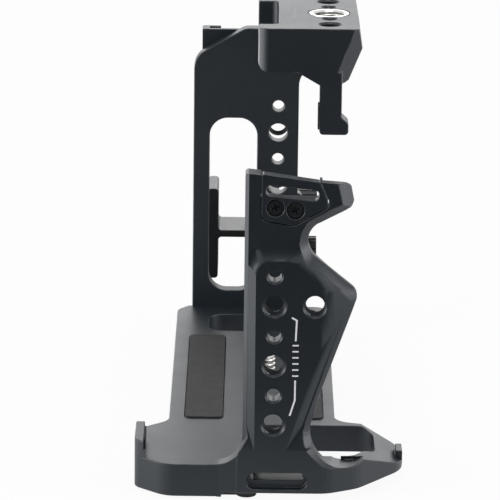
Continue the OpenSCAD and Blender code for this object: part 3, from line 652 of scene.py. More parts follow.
@dataclass
class MachinedPiece:
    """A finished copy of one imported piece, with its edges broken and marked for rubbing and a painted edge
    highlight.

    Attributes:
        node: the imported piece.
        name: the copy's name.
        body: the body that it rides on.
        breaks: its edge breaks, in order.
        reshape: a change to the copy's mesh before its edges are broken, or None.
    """

    node: str
    name: str
    body: Body
    breaks: tuple[EdgeBreak, ...]
    reshape: Callable[[bmesh.types.BMesh], None] | None = None

    def build(self, source: bpy.types.Object, finish: bpy.types.Material, slot: str) -> bpy.types.Object:
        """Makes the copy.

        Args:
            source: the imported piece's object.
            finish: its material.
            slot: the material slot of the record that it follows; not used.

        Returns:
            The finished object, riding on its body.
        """
        tight: list[Vector] = []
        for attempt in range(TRIES):
            work, found = self._soften_all(source, tight)
            if not found:
                break
            tight += found
            if attempt < TRIES - 1:
                work.free()
        mesh = bpy.data.meshes.new(self.name)
        bmesh.ops.triangulate(work, faces=work.faces[:], quad_method="BEAUTY", ngon_method="BEAUTY")
        work.to_mesh(mesh)
        work.free()
        settle_normals(mesh)
        piece = add_object(self.name, mesh)
        piece.data.materials.append(finish)
        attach(piece, self.body.value)
        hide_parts(self.node)
        log.info("%s stands for %s: %d faces, %d tight places kept sharp, %d left", self.name, self.node,
                 len(piece.data.polygons), len(tight), len(found))
        return piece

    def _soften_all(self, source: bpy.types.Object,
                    tight: list[Vector]) -> tuple[bmesh.types.BMesh, list[Vector]]:
        """Breaks every edge of a fresh copy that has room for it.

        Args:
            source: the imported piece's object.
            tight: places with no room, where edges stay sharp.

        Returns:
            The mesh, and the places where it now overlaps itself.
        """
        work = bmesh.new()
        work.from_mesh(source.data)
        weld(work)
        if self.reshape:
            self.reshape(work)
        layer = work.verts.layers.float.new("edge")
        work.faces.layers.int.new("strip")
        found: list[Vector] = []
        skin = BVHTree.FromBMesh(work)
        for edge_break in self.breaks:
            work.normal_update()
            flats = FlatRegions(work)
            strips = self._soften(work, edge_break, tight)
            found += flats.fill_again(strips)
            found += self._strays(strips, skin, edge_break.width_mm * MM)
        work.normal_update()
        FlatRegions(work)
        strip = work.faces.layers.int["strip"]
        for vert in work.verts:
            vert[layer] = float(all(f[strip] for f in vert.link_faces))
        return work, found

    @staticmethod
    def _strays(strips: set[bmesh.types.BMFace], skin: BVHTree, width: float) -> list[Vector]:
        """Finds new faces that stick out or lie the wrong way round.

        Args:
            strips: the new faces along the edges.
            skin: the surface before its edges were broken.
            width: the width of the break in metres.

        Returns:
            Where on the old surface each of them is.
        """
        found = []
        for face in strips:
            face.normal_update()
            for vert in face.verts:
                spot, _, _, gap = skin.find_nearest(vert.co)
                if gap > STRAY_OFFSET * width:
                    found.append(spot)
            middle = face.calc_center_median()
            near = skin.find_nearest_range(middle, STRAY_REACH * width)
            if face.calc_area() > 1e-9 and near and max(n[1].dot(face.normal) for n in near) < STRAY_DOT:
                found.append(middle)
        return found

    @staticmethod
    def _soften(work: bmesh.types.BMesh, how: EdgeBreak, tight: list[Vector]) -> set[bmesh.types.BMFace]:
        """Breaks the edges that one edge break names.

        Args:
            work: the mesh in hand.
            how: the edge break.
            tight: places where edges stay sharp.

        Returns:
            The new faces along the edges.
        """
        least, reach = math.radians(how.sharper_than), how.width_mm * TIGHT_REACH * MM
        chosen = [
            e for e in work.edges
            if e.is_manifold and e.calc_face_angle(0.0) > least and e.calc_length() > 0.02 * MM
            and (how.only is None or how.only((e.verts[0].co + e.verts[1].co) / (2 * MM)))
        ]
        if tight and chosen:
            chosen = [e for e, gap in zip(chosen, gaps_to_edges(tight, chosen)) if gap > reach]
        if not chosen:
            return set()
        got = bmesh.ops.bevel(
            work, geom=chosen, offset=how.width_mm * MM, offset_type="OFFSET", segments=how.segments,
            profile=0.5, affect="EDGES", clamp_overlap=False, loop_slide=False, miter_outer="SHARP",
            miter_inner="SHARP",
        )
        strip = work.faces.layers.int["strip"]
        for face in got["faces"]:
            face[strip] = 1
        return set(got["faces"])


class FlatRegions:
    """The flat regions of a mesh, which are filled again from their outlines once their edges have moved."""

    def __init__(self, work: bmesh.types.BMesh) -> None:
        """Numbers every flat region: faces joined by edges that don't bend.

        Args:
            work: the mesh in hand.
        """
        self.work = work
        self.layer = work.faces.layers.int.get("flat") or work.faces.layers.int.new("flat")
        self.normals: dict[int, Vector] = {}
        for face in work.faces:
            face[self.layer] = 0
        for seed in work.faces:
            if seed[self.layer]:
                continue
            number = len(self.normals) + 1
            self.normals[number] = seed.normal.copy()
            seed[self.layer] = number
            todo = [seed]
            while todo:
                for edge in todo.pop().edges:
                    for face in edge.link_faces:
                        if not face[self.layer] and face.normal.dot(self.normals[number]) > FLAT_DOT:
                            face[self.layer] = number
                            todo.append(face)

    def fill_again(self, strips: set[bmesh.types.BMFace]) -> list[Vector]:
        """Fills every region from its outline.

        Args:
            strips: faces that belong to no flat region.

        Returns:
            Places where an outline crosses itself.
        """
        regions: dict[int, list[bmesh.types.BMFace]] = {}
        for face in self.work.faces:
            if face not in strips:
                regions.setdefault(face[self.layer], []).append(face)
        self.work.normal_update()
        found: list[Vector] = []
        old: list[bmesh.types.BMFace] = []
        new: list[tuple[int, list[bmesh.types.BMVert]]] = []
        for number, faces in regions.items():
            if len(faces) == 1 and len(faces[0].verts) <= 4:
                if faces[0].normal.dot(self.normals[number]) < 0.2 and faces[0].calc_area() > 1e-10:
                    found.append(faces[0].calc_center_median())
                continue
            corners, crossings = self._triangles(number, faces)
            found += crossings
            if corners:
                old += faces
                new += [(number, c) for c in corners]
        bmesh.ops.delete(self.work, geom=old, context="FACES_ONLY")
        for number, corners in new:
            self.work.faces.new(corners)[self.layer] = number
        bmesh.ops.delete(self.work, geom=[e for e in self.work.edges if not e.link_faces], context="EDGES")
        bmesh.ops.delete(self.work, geom=[v for v in self.work.verts if not v.link_faces], context="VERTS")
        return found

    def _triangles(self, number: int,
                   faces: list[bmesh.types.BMFace]) -> tuple[list[list[bmesh.types.BMVert]], list[Vector]]:
        """Works out triangles that fill one region's outline.

        Args:
            number: the region's number.
            faces: its faces.

        Returns:
            The triangles' corners, none if the outline crosses itself, and the places where it does.
        """
        inside, normal = set(faces), self.normals[number]
        rim = [e for f in faces for e in f.edges if sum(g in inside for g in e.link_faces) == 1]
        verts = list(dict.fromkeys(v for e in rim for v in e.verts))
        place = {v: i for i, v in enumerate(verts)}
        across = normal.orthogonal().normalized()
        along = normal.cross(across)
        spots = [Vector((v.co.dot(across), v.co.dot(along))) / MM for v in verts]
        pairs = [(place[e.verts[0]], place[e.verts[1]]) for e in rim]
        points, _, tris, origins, _, _ = delaunay_2d_cdt(spots, pairs, [], 1, 1e-5)
        height = sum(v.co.dot(normal) for v in verts) / len(verts)
        lost = [p for p, o in zip(points, origins) if len(o) != 1]
        if lost or not tris:
            return [], [(across * p.x + along * p.y) * MM + normal * height for p in lost]
        ends = np.array([[*spots[i], *spots[j]] for i, j in pairs])
        kept = inside_outline(np.array(points)[np.array(tris)].mean(1), ends)
        corners = []
        for tri in (t for t, keep in zip(tris, kept) if keep):
            a, b, c = (spots[origins[i][0]] for i in tri)
            way = 1 if (b - a).cross(c - a) > 0 else -1
            corners.append([verts[origins[i][0]] for i in tri][::way])
        return corners, []


def weld(work: bmesh.types.BMesh) -> None:
    """Joins corners that meet, and merges triangles that lie in one plane.

    Args:
        work: the mesh in hand.
    """
    bmesh.ops.remove_doubles(work, verts=work.verts[:], dist=MEETING_MM * MM)
    bmesh.ops.dissolve_degenerate(work, edges=work.edges[:], dist=SHORTEST_MM * MM)
    bmesh.ops.dissolve_limit(work, angle_limit=math.radians(FLAT_DEG), verts=work.verts[:],
                             edges=work.edges[:])


def carve(work: bmesh.types.BMesh, rings: list[list[Point]]) -> None:
    """Cuts a swept shape out of a mesh.

    Args:
        work: the mesh in hand.
        rings: the shape's cross-sections in order, each a closed loop of points in millimetres.
    """
    tool = bmesh.new()
    rows = [[tool.verts.new(tuple(c * MM for c in at)) for at in ring] for ring in rings]
    for a, b in zip(rows, rows[1:]):
        for i, _ in enumerate(a):
            tool.faces.new((a[i - 1], a[i], b[i], b[i - 1]))
    tool.faces.new(rows[0][::-1])
    tool.faces.new(rows[-1])
    bmesh.ops.recalc_face_normals(tool, faces=tool.faces[:])
    holders = []
    for name, shape in (("work", work), ("tool", tool)):
        mesh = bpy.data.meshes.new(name)
        shape.to_mesh(mesh)
        holders.append(add_object(name, mesh))
    cut = holders[0].modifiers.new("cut", "BOOLEAN")
    cut.object, cut.operation, cut.solver = holders[1], "DIFFERENCE", "EXACT"
    graph = bpy.context.evaluated_depsgraph_get()
    result = bpy.data.meshes.new_from_object(holders[0].evaluated_get(graph), depsgraph=graph)
    work.clear()
    work.from_mesh(result)
    tool.free()
    for mesh in (result, *(h.data for h in holders)):
        bpy.data.meshes.remove(mesh)
    weld(work)


def inside_outline(spots: np.ndarray, ends: np.ndarray) -> np.ndarray:
    """Which flat spots lie inside an outline.

    Args:
        spots: one row per spot.
        ends: one row per edge of the outline, with both its ends.

    Returns:
        True for each spot from which a ray crosses the outline an odd number of times.
    """
    x0, y0, x1, y1 = ends.T
    x, y = spots[:, :1], spots[:, 1:2]
    spans = (y0 > y) != (y1 > y)
    with np.errstate(divide="ignore", invalid="ignore"):
        cross = x0 + (y - y0) * (x1 - x0) / (y1 - y0)
    return np.count_nonzero(spans & (cross > x), axis=1) % 2 == 1


def gaps_to_edges(points: list[Vector], edges: list[bmesh.types.BMEdge]) -> np.ndarray:
    """How far the nearest of some points lies from each edge, in metres.

    Args:
        points: the points.
        edges: the edges.

    Returns:
        One distance per edge.
    """
    a = np.array([e.verts[0].co for e in edges])[:, None]
    span = np.array([e.verts[1].co for e in edges])[:, None] - a
    offset = np.array(points)[None] - a
    share = np.clip((offset * span).sum(2) / np.maximum((span * span).sum(2), 1e-18), 0.0, 1.0)
    return np.linalg.norm(offset - span * share[..., None], axis=2).min(1)


def settle_normals(mesh: bpy.types.Mesh, blend_deg: float = 40.0) -> None:
    """Gives a triangle mesh normals that keep its flats flat and its broken edges round.

    At each corner, the faces that bend by less than the limit are averaged, and the widest flat region has
    by far the most say. The broken edges have next to none, so they take up the whole bend.

    Args:
        mesh: the mesh, with the face layers that number its flat regions and mark its broken edges.
        blend_deg: the greatest bend in degrees that is shaded as round.
    """
    count = len(mesh.polygons)
    normal, area = np.zeros(count * 3), np.zeros(count)
    region, strip = np.zeros(count, dtype=np.int32), np.zeros(count, dtype=np.int32)
    mesh.polygons.foreach_get("normal", normal)
    mesh.polygons.foreach_get("area", area)
    mesh.attributes["flat"].data.foreach_get("value", region)
    mesh.attributes["strip"].data.foreach_get("value", strip)
    normal = normal.reshape(-1, 3)
    whole = np.bincount(region, weights=area)[region] * 1e6
    say = (whole ** 2 + 1e-9) * np.where(strip > 0, 1e-6, 1.0)
    vert = np.zeros(count * 3, dtype=np.int32)
    mesh.loops.foreach_get("vertex_index", vert)
    order = np.argsort(vert, kind="stable")
    sizes = np.bincount(vert, minlength=len(mesh.vertices))
    starts = np.concatenate(([0], np.cumsum(sizes)[:-1]))
    mine = np.repeat(order, sizes[vert[order]])
    first = np.repeat(starts[vert[order]], sizes[vert[order]])
    fans = sizes[vert[order]]
    step = np.arange(len(mine)) - np.repeat(np.cumsum(fans) - fans, fans)
    other = order[first + step]
    near = (normal[mine // 3] * normal[other // 3]).sum(1) > math.cos(math.radians(blend_deg))
    share = say[other // 3] * near
    pull = share[:, None] * normal[other // 3]
    total = np.stack([np.bincount(mine, weights=pull[:, k], minlength=count * 3) for k in range(3)], 1)
    total /= np.maximum(np.linalg.norm(total, axis=1), 1e-30)[:, None]
    mesh.shade_smooth()
    mesh.normals_split_custom_set(total.tolist())
    for name in ("flat", "strip"):
        mesh.attributes.remove(mesh.attributes[name])


# ---- Geometry Nodes -------------------------------------------------------------------------------


class GrownPiece:
    """A piece that a Geometry Nodes tree grows on marked places, then turned into a plain mesh."""

    def __init__(self, tree: bpy.types.NodeTree) -> None:
        """Keeps the tree.

        Args:
            tree: a geometry tree with a Geometry input and output.
        """
        self.tree = tree

    def grow(self, name: str, places: Iterable[tuple[Point, Axis]], body: Body, slot: str,
             inputs: dict[str, object]) -> bpy.types.Object:
        """Grows the piece.

        Args:
            name: its name.
            places: where each copy starts in millimetres, and its axis.
            body: the body that it rides on.
            slot: the material slot of the record that it follows; not used.
            inputs: the tree's named inputs.

        Returns:
            The finished object.
        """
        spots = list(places)
        mesh = bpy.data.meshes.new(name)
        mesh.from_pydata([tuple(c * MM for c in at) for at, _ in spots], [], [])
        axis = mesh.attributes.new("axis", "FLOAT_VECTOR", "POINT")
        for i, (_, way) in enumerate(spots):
            axis.data[i].vector = way.value
        piece = add_object(name, mesh)
        modifier = piece.modifiers.new("grow", "NODES")
        modifier.node_group = self.tree
        sockets = {s.name: s.identifier for s in self.tree.interface.items_tree
                   if s.item_type == "SOCKET" and s.in_out == "INPUT"}
        for label, value in inputs.items():
            modifier[sockets[label]] = value
        graph = bpy.context.evaluated_depsgraph_get()
        grown = bpy.data.meshes.new_from_object(piece.evaluated_get(graph), depsgraph=graph)
        piece.modifiers.clear()
        piece.data = grown
        bpy.data.meshes.remove(mesh)
        grown.name = name
        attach(piece, body.value)
        log.info("%s: %d copies, %d faces", name, len(spots), len(grown.polygons))
        return piece


class GrowthTrees:
    """The Geometry Nodes trees."""

    def __init__(self) -> None:
        """Builds every tree once."""
        self.thread = self._thread()
        self.knurl = self._knurl()
        self.marks = self._marks()

    @staticmethod
    def _new(name: str, inputs: dict[str, tuple[str, object]]) -> tuple[Nodes, dict, bpy.types.NodeSocket]:
        """Starts a geometry tree.

        Args:
            name: its name.
            inputs: each input's socket type and first value, without the geometry.

        Returns:
            The node adder, the input sockets by name and the output socket.
        """
        shape: dict[str, tuple[str, object]] = {"Geometry": ("NodeSocketGeometry", None)}
        nodes, given, out = blank_group(name, "GeometryNodeTree", {**shape, **inputs},
                                        {"Geometry": "NodeSocketGeometry"})
        return nodes, given, out["Geometry"]

    @staticmethod
    def _spread_out(nodes: Nodes, given: dict, shape: bpy.types.NodeSocket,
                    out: bpy.types.NodeSocket) -> None:
        """Ends a tree: one copy of a shape on each place, turned to its axis, realised and finished.

        Args:
            nodes: the tree's node adder.
            given: the tree's inputs.
            shape: the shape's geometry, grown along +Z.
            out: the tree's output.
        """
        axis = nodes.add("GeometryNodeInputNamedAttribute", data_type="FLOAT_VECTOR")
        axis.inputs["Name"].default_value = "axis"
        turn = nodes.add("FunctionNodeAlignRotationToVector", axis="Z")
        nodes.put(axis.outputs["Attribute"], turn.inputs["Vector"])
        copies = nodes.add("GeometryNodeInstanceOnPoints")
        nodes.put(given["Geometry"], copies.inputs["Points"])
        nodes.put(shape, copies.inputs["Instance"])
        nodes.put(turn.outputs["Rotation"], copies.inputs["Rotation"])
        real, finish = nodes.add("GeometryNodeRealizeInstances"), nodes.add("GeometryNodeSetMaterial")
        nodes.put(copies.outputs["Instances"], real.inputs["Geometry"])
        nodes.put(real.outputs["Geometry"], finish.inputs["Geometry"])
        nodes.put(given["Finish"], finish.inputs["Material"])
        nodes.put(finish.outputs["Geometry"], out)

    def _thread(self) -> bpy.types.NodeTree:
        """One ridge wound round an axis: the crest of a thread, with its half inside the metal.

        Returns:
            The tree.
        """
        nodes, given, out = self._new(
            "thread_ridge",
            {"Radius": ("NodeSocketFloat", 0.00255), "Ridge": ("NodeSocketFloat", 0.0004),
             "Pitch": ("NodeSocketFloat", 0.00127), "Turns": ("NodeSocketFloat", 3.0),
             "Steps per Turn": ("NodeSocketInt", 28), "Finish": ("NodeSocketMaterial", None)},
        )
        line = nodes.add("GeometryNodeCurveSpiral")
        nodes.put(given["Steps per Turn"], line.inputs["Resolution"])
        nodes.put(given["Turns"], line.inputs["Rotations"])
        for end in ("Start Radius", "End Radius"):
            nodes.put(given["Radius"], line.inputs[end])
        nodes.put(nodes.math("MULTIPLY", given["Turns"], given["Pitch"]), line.inputs["Height"])
        profile = nodes.add("GeometryNodeCurvePrimitiveCircle", mode="RADIUS")
        profile.inputs["Resolution"].default_value = 4
        nodes.put(given["Ridge"], profile.inputs["Radius"])
        upright = nodes.add("GeometryNodeSetCurveNormal", mode="Z_UP")
        nodes.put(line.outputs["Curve"], upright.inputs["Curve"])
        sweep = nodes.add("GeometryNodeCurveToMesh")
        nodes.put(upright.outputs["Curve"], sweep.inputs["Curve"])
        nodes.put(profile.outputs["Curve"], sweep.inputs["Profile Curve"])
        sweep.inputs["Fill Caps"].default_value = True
        self._spread_out(nodes, given, sweep.outputs["Mesh"], out)
        return nodes.tree

    def _knurl(self) -> bpy.types.NodeTree:
        """Straight ribs round a rim.

        Returns:
            The tree.
        """
        nodes, given, out = self._new(
            "knurled_rim",
            {"Radius": ("NodeSocketFloat", 0.006), "Height": ("NodeSocketFloat", 0.002),
             "Rib": ("NodeSocketFloat", 0.0003), "Ribs": ("NodeSocketInt", 48),
             "Finish": ("NodeSocketMaterial", None)},
        )
        ring = nodes.add("GeometryNodeCurvePrimitiveCircle", mode="RADIUS")
        nodes.put(given["Ribs"], ring.inputs["Resolution"])
        nodes.put(given["Radius"], ring.inputs["Radius"])
        points = nodes.add("GeometryNodeCurveToPoints", mode="EVALUATED")
        nodes.put(ring.outputs["Curve"], points.inputs["Curve"])
        rib = nodes.add("GeometryNodeMeshCylinder", fill_type="NGON")
        rib.inputs["Vertices"].default_value = 6
        nodes.put(given["Rib"], rib.inputs["Radius"])
        nodes.put(given["Height"], rib.inputs["Depth"])
        lift = nodes.add("GeometryNodeTransform")
        nodes.put(rib.outputs["Mesh"], lift.inputs["Geometry"])
        middle = nodes.add("ShaderNodeCombineXYZ")
        nodes.put(nodes.math("MULTIPLY", given["Height"], 0.5), middle.inputs["Z"])
        nodes.put(middle.outputs["Vector"], lift.inputs["Translation"])
        ribs = nodes.add("GeometryNodeInstanceOnPoints")
        nodes.put(points.outputs["Points"], ribs.inputs["Points"])
        nodes.put(lift.outputs["Geometry"], ribs.inputs["Instance"])
        self._spread_out(nodes, given, ribs.outputs["Instances"], out)
        return nodes.tree

    def _marks(self) -> bpy.types.NodeTree:
        """A row of plain printed ticks along +Y, that stand a hair above the surface.

        Returns:
            The tree.
        """
        nodes, given, out = self._new(
            "printed_ticks",
            {"Length": ("NodeSocketFloat", 0.001), "Width": ("NodeSocketFloat", 0.0004),
             "Ink": ("NodeSocketFloat", 0.00003), "Step": ("NodeSocketVector", (0.0, 0.001, 0.0)),
             "Ticks": ("NodeSocketInt", 5), "Finish": ("NodeSocketMaterial", None)},
        )
        size = nodes.add("ShaderNodeCombineXYZ")
        nodes.put(given["Length"], size.inputs["X"])
        nodes.put(given["Width"], size.inputs["Y"])
        nodes.put(given["Ink"], size.inputs["Z"])
        tick = nodes.add("GeometryNodeMeshCube")
        nodes.put(size.outputs["Vector"], tick.inputs["Size"])
        row = nodes.add("GeometryNodeMeshLine", mode="OFFSET")
        nodes.put(given["Ticks"], row.inputs["Count"])
        nodes.put(given["Step"], row.inputs["Offset"])
        ticks = nodes.add("GeometryNodeInstanceOnPoints")
        nodes.put(row.outputs["Mesh"], ticks.inputs["Points"])
        nodes.put(tick.outputs["Mesh"], ticks.inputs["Instance"])
        self._spread_out(nodes, given, ticks.outputs["Instances"], out)
        return nodes.tree


# ---- Sub-assemblies -------------------------------------------------------------------------------


@dataclass
class Workshop:
    """What every sub-assembly needs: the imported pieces, the finishes and the trees."""

    nodes: dict[str, bpy.types.Object]
    finishes: FinishSet
    trees: GrowthTrees

    def machine(self, node: str, name: str, slot: str, breaks: tuple[EdgeBreak, ...],
                body: Body = Body.FRAME, reshape: Callable[[bmesh.types.BMesh], None] | None = None,
                finish: str | None = None) -> None:
        """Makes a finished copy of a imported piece.

        Args:
            node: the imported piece.
            name: the copy's name.
            slot: the record's material slot.
            breaks: its edge breaks, in order.
            body: the body that it rides on.
            reshape: a change to the copy's mesh before its edges are broken, or None.
            finish: the finish's name, if it isn't the slot's.
        """
        piece = MachinedPiece(node, name, body, breaks, reshape)
        piece.build(self.nodes[node], self.finishes[finish or slot], slot)

    def thread(self, name: str, places: Iterable[tuple[Point, Axis]], radius: float, pitch: float,
               length: float, slot: str, ridge: float = 0.36, body: Body = Body.FRAME,
               finish: str | None = None) -> bpy.types.Object:
        """Winds a thread's ridge into holes or round shanks.

        Args:
            name: the piece's name.
            places: where each thread starts, and its axis.
            radius: the radius that the ridge is centred on, in millimetres.
            pitch: the distance between turns, in millimetres.
            length: the threaded length, in millimetres.
            slot: the record's material slot.
            ridge: half the ridge's width, in millimetres.
            body: the body that it rides on.
            finish: the finish's name, if it isn't the slot's.

        Returns:
            The object.
        """
        return GrownPiece(self.trees.thread).grow(
            name, places, body, slot,
            {"Radius": radius * MM, "Ridge": ridge * MM, "Pitch": pitch * MM, "Turns": length / pitch,
             "Steps per Turn": 28, "Finish": self.finishes[finish or slot]},
        )


@dataclass
class BaseAndUpright:
    """The milled base with the grip-side upright: its edges, its threads and its printed marks.

    Sizes are in millimetres. The upright's holes and lines lie in its outer face, as Y and Z.

    Attributes:
        panel_x, low_x: the raised panel's face, and the lower face round it.
        fade_end, fade_cuts: the height down to which the rear bevel fades, and the cuts above it.
        fade_left: the share of the bevel that is left at fade_end.
        rear_y: where the upright's rear flank stands at fade_end.
        dip, dip_r: the middle and radius of the dip in the base's rim.
        dip_turns, dip_starts: the bevel round the dip, as angles in degrees and where along X it starts.
        cutter: how far the bevel's cutter reaches inside the rim, across the bevel and past it.
        shoulder_y, shoulder_z, rim_y, rim_z: where the panel's shoulder and its soft rim lie.
    """

    panel_x: float = 78.0
    low_x: float = 76.4
    column_y: float = 2.1
    threads_z: tuple[float, ...] = (10.7, 25.7, 40.7)
    pins_z: tuple[float, ...] = (18.2, 33.2, 48.2)
    front_thread: tuple[float, float] = (11.9, 40.7)
    quarter_r: float = 2.55
    pin_r: float = 1.6
    mouth: float = 0.5
    line_width: float = 0.42
    line_low: tuple[tuple[float, float], ...] = ((6.1, 13.1), (7.3, 17.1), (7.3, 22.1))
    line_high: tuple[tuple[float, float], ...] = ((7.3, 32.0), (7.5, 37.2), (6.3, 37.9))
    tick_span: tuple[float, float] = (23.2, 30.9)
    ticks: int = 6
    rear_y: float = -5.99
    fade_end: float = 4.0
    fade_cuts: tuple[float, float] = (10.0, 7.0)
    fade_left: float = 0.1
    shoulder_y: tuple[float, float] = (11.5, 20.5)
    shoulder_z: tuple[float, float] = (43.6, 49.6)
    rim_y: tuple[float, float] = (-4.6, 20.4)
    rim_z: tuple[float, float] = (3.0, 54.5)
    dip: tuple[float, float] = (20.5, 8.4)
    dip_r: float = 9.3
    dip_turns: tuple[float, ...] = (155.5, *(162.0 + 6.0 * i for i in range(20)))
    dip_starts: tuple[float, ...] = (
        74.85, 74.85, 74.87, 74.95, 75.1, 75.35, 75.65, 75.98, 76.3, 76.55, 76.73,
        76.85, 76.91, 76.92, 76.87, 76.72, 76.45, 76.05, 75.62, 75.2, 74.8,
    )
    cutter: tuple[float, float, float] = (0.6, 4.2, 9.0)

    def build(self, shop: Workshop) -> None:
        """Builds the pieces.

        Args:
            shop: the shared workshop.
        """
        breaks = (EdgeBreak(0.7, 4, 15.0, self._panel_shoulder), EdgeBreak(0.4, 4, 24.0, self._panel_rim),
                  EdgeBreak(0.26, 3, 34.0, self._not_mouth))
        shop.machine("main_frame", "base_and_upright", "black_alloy", breaks, reshape=self._shape_foot)
        holes = [(self.column_y, z) for z in self.threads_z] + [self.front_thread]
        shop.thread("column_threads", [((73.3, y, z), Axis.OUT_OF_GRIP_SIDE) for y, z in holes],
                    self.quarter_r + 0.1, QUARTER_PITCH, 3.9, "black_alloy")
        shop.thread("base_thread", [((-21.0, 0.0, -7.3), Axis.UP)], self.quarter_r + 0.1, QUARTER_PITCH, 6.6,
                    "black_alloy")
        self._print_marks(shop)

    def _shape_foot(self, work: bmesh.types.BMesh) -> None:
        """Runs the front bevel round the dip in the rim, and lets the rear bevel fade out above the base.

        Args:
            work: the mesh in hand.
        """
        corner = [v for v in work.verts if abs(v.co.z - self.fade_end * MM) < 0.02 * MM
                  and -6.1 * MM < v.co.y < -3.4 * MM and v.co.x > 74.7 * MM]
        near = {f for v in corner for f in v.link_faces}
        for z in self.fade_cuts:
            around = {e for f in near for e in f.edges} | {v for f in near for v in f.verts} | near
            bmesh.ops.bisect_plane(work, geom=list(around), dist=1e-7, plane_co=(0.0, 0.0, z * MM),
                                   plane_no=(0.0, 0.0, 1.0))
            near = {f for v in corner for f in v.link_faces}
        bmesh.ops.triangulate(work, faces=list(near))
        for vert in corner:
            depth = self.panel_x - vert.co.x / MM
            if vert.co.y >= -5.9 * MM:
                vert.co.y = (self.rear_y + self.fade_left * (vert.co.y / MM - self.rear_y)) * MM
            vert.co.x = (self.panel_x - self.fade_left * depth) * MM
        inside, wide, past = self.cutter
        rings = []
        for turn, start in zip(self.dip_turns, self.dip_starts):
            across, up = math.cos(math.radians(turn)), math.sin(math.radians(turn))
            rings.append([
                (x, self.dip[0] + r * across, self.dip[1] + r * up)
                for x, r in ((start - inside, self.dip_r - inside), (start + wide, self.dip_r + wide),
                             (start + past, self.dip_r + wide), (start + past, self.dip_r - inside))
            ])
        carve(work, rings)

    def _near_hole(self, at: Vector) -> bool:
        """Whether a point lies at the mouth of one of the upright's holes."""
        threads = [(self.column_y, z) for z in self.threads_z] + [self.front_thread]
        pins = [(self.column_y, z) for z in self.pins_z]
        reach = [(c, self.quarter_r) for c in threads] + [(c, self.pin_r) for c in pins]
        return any(math.hypot(at.y - c[0], at.z - c[1]) < r + self.mouth + 0.1 for c, r in reach)

    def _panel_shoulder(self, at: Vector) -> bool:
        """Whether an edge belongs to the ridge above the raised panel's front corner."""
        (y0, y1), (z0, z1) = self.shoulder_y, self.shoulder_z
        return 75.0 < at.x < self.panel_x - 0.02 and y0 < at.y < y1 and z0 < at.z < z1

    def _panel_rim(self, at: Vector) -> bool:
        """Whether an edge belongs to the raised panel's soft rim."""
        (y0, y1), (z0, z1) = self.rim_y, self.rim_z
        if self._near_hole(at) or not z0 < at.z < z1 or not y0 < at.y < y1:
            return False
        return abs(at.x - self.panel_x) < 0.05 or (abs(at.x - self.low_x) < 0.05 and at.y < 15.0 + 0.2 * at.z)

    def _not_mouth(self, at: Vector) -> bool:
        """Whether an edge isn't at the mouth of a hole, which is bevelled already."""
        return not (at.x > self.low_x and self._near_hole(at))

    def _print_marks(self, shop: Workshop) -> None:
        """Prints the bracket line and its plain ticks beside the column of threads."""
        for name, path in (("mark_line_low", self.line_low), ("mark_line_high", self.line_high)):
            piece = ribbon(name, path, self.line_width, self.panel_x)
            piece.data.materials.append(shop.finishes["white_ink"])
            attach(piece, Body.FRAME.value)
            log.info("%s printed", name)
        low, high = self.tick_span
        GrownPiece(shop.trees.marks).grow(
            "mark_ticks", [((self.panel_x, 7.3, low), Axis.OUT_OF_GRIP_SIDE)], Body.FRAME, "black_alloy",
            {"Length": 0.36 * MM, "Width": 1.5 * MM, "Ink": 0.05 * MM,
             "Step": (-(high - low) / (self.ticks - 1) * MM, 0.0, 0.0), "Ticks": self.ticks,
             "Finish": shop.finishes["white_ink"]},
        )


def ribbon(name: str, path: Iterable[tuple[float, float]], width: float, x: float) -> bpy.types.Object:
    """Makes a thin printed line that lies on a face of constant X.

    Args:
        name: the piece's name.
        path: its middle line in Y and Z, in millimetres.
        width: its width in millimetres.
        x: the face's place in millimetres.

    Returns:
        The object, closed all round, with no material yet.
    """
    points = [Vector((0.0, y, z)) for y, z in path]
    work = bmesh.new()
    rows = []
    for i, p in enumerate(points):
        before = (p - points[i - 1]).normalized() if i else None
        after = (points[i + 1] - p).normalized() if i + 1 < len(points) else None
        along = ((before or after) + (after or before)).normalized()
        side = Vector((1.0, 0.0, 0.0)).cross(along)
        stretch = 1.0 / max(0.5, side.dot(Vector((1.0, 0.0, 0.0)).cross(after or before)))
        rows.append([
            work.verts.new(((x + dx) * MM, (p.y + s * side.y * width / 2 * stretch) * MM,
                            (p.z + s * side.z * width / 2 * stretch) * MM))
            for dx, s in ((-0.03, -1), (-0.03, 1), (0.02, 1), (0.02, -1))
        ])
    for a, b in zip(rows, rows[1:]):
        for i in range(4):
            j = (i + 1) % 4
            work.faces.new((a[i], a[j], b[j], b[i]))
    work.faces.new(rows[0][::-1])
    work.faces.new(rows[-1])
    bmesh.ops.recalc_face_normals(work, faces=work.faces[:])
    mesh = bpy.data.meshes.new(name)
    work.to_mesh(mesh)
    work.free()
    return add_object(name, mesh)


@dataclass
class StrapBracket:
    """The strap bracket that is set into the upright's head, and its two screws."""

    def build(self, shop: Workshop) -> None:
        """Builds the pieces.

        Args:
            shop: the shared workshop.
        """
        shop.machine("strap_bracket", "strap_loop_plate", "black_alloy", (EdgeBreak(0.2, 3),))
        shop.machine("strap_bracket_screws", "strap_plate_screws", "black_steel", (EdgeBreak(0.12, 2),))


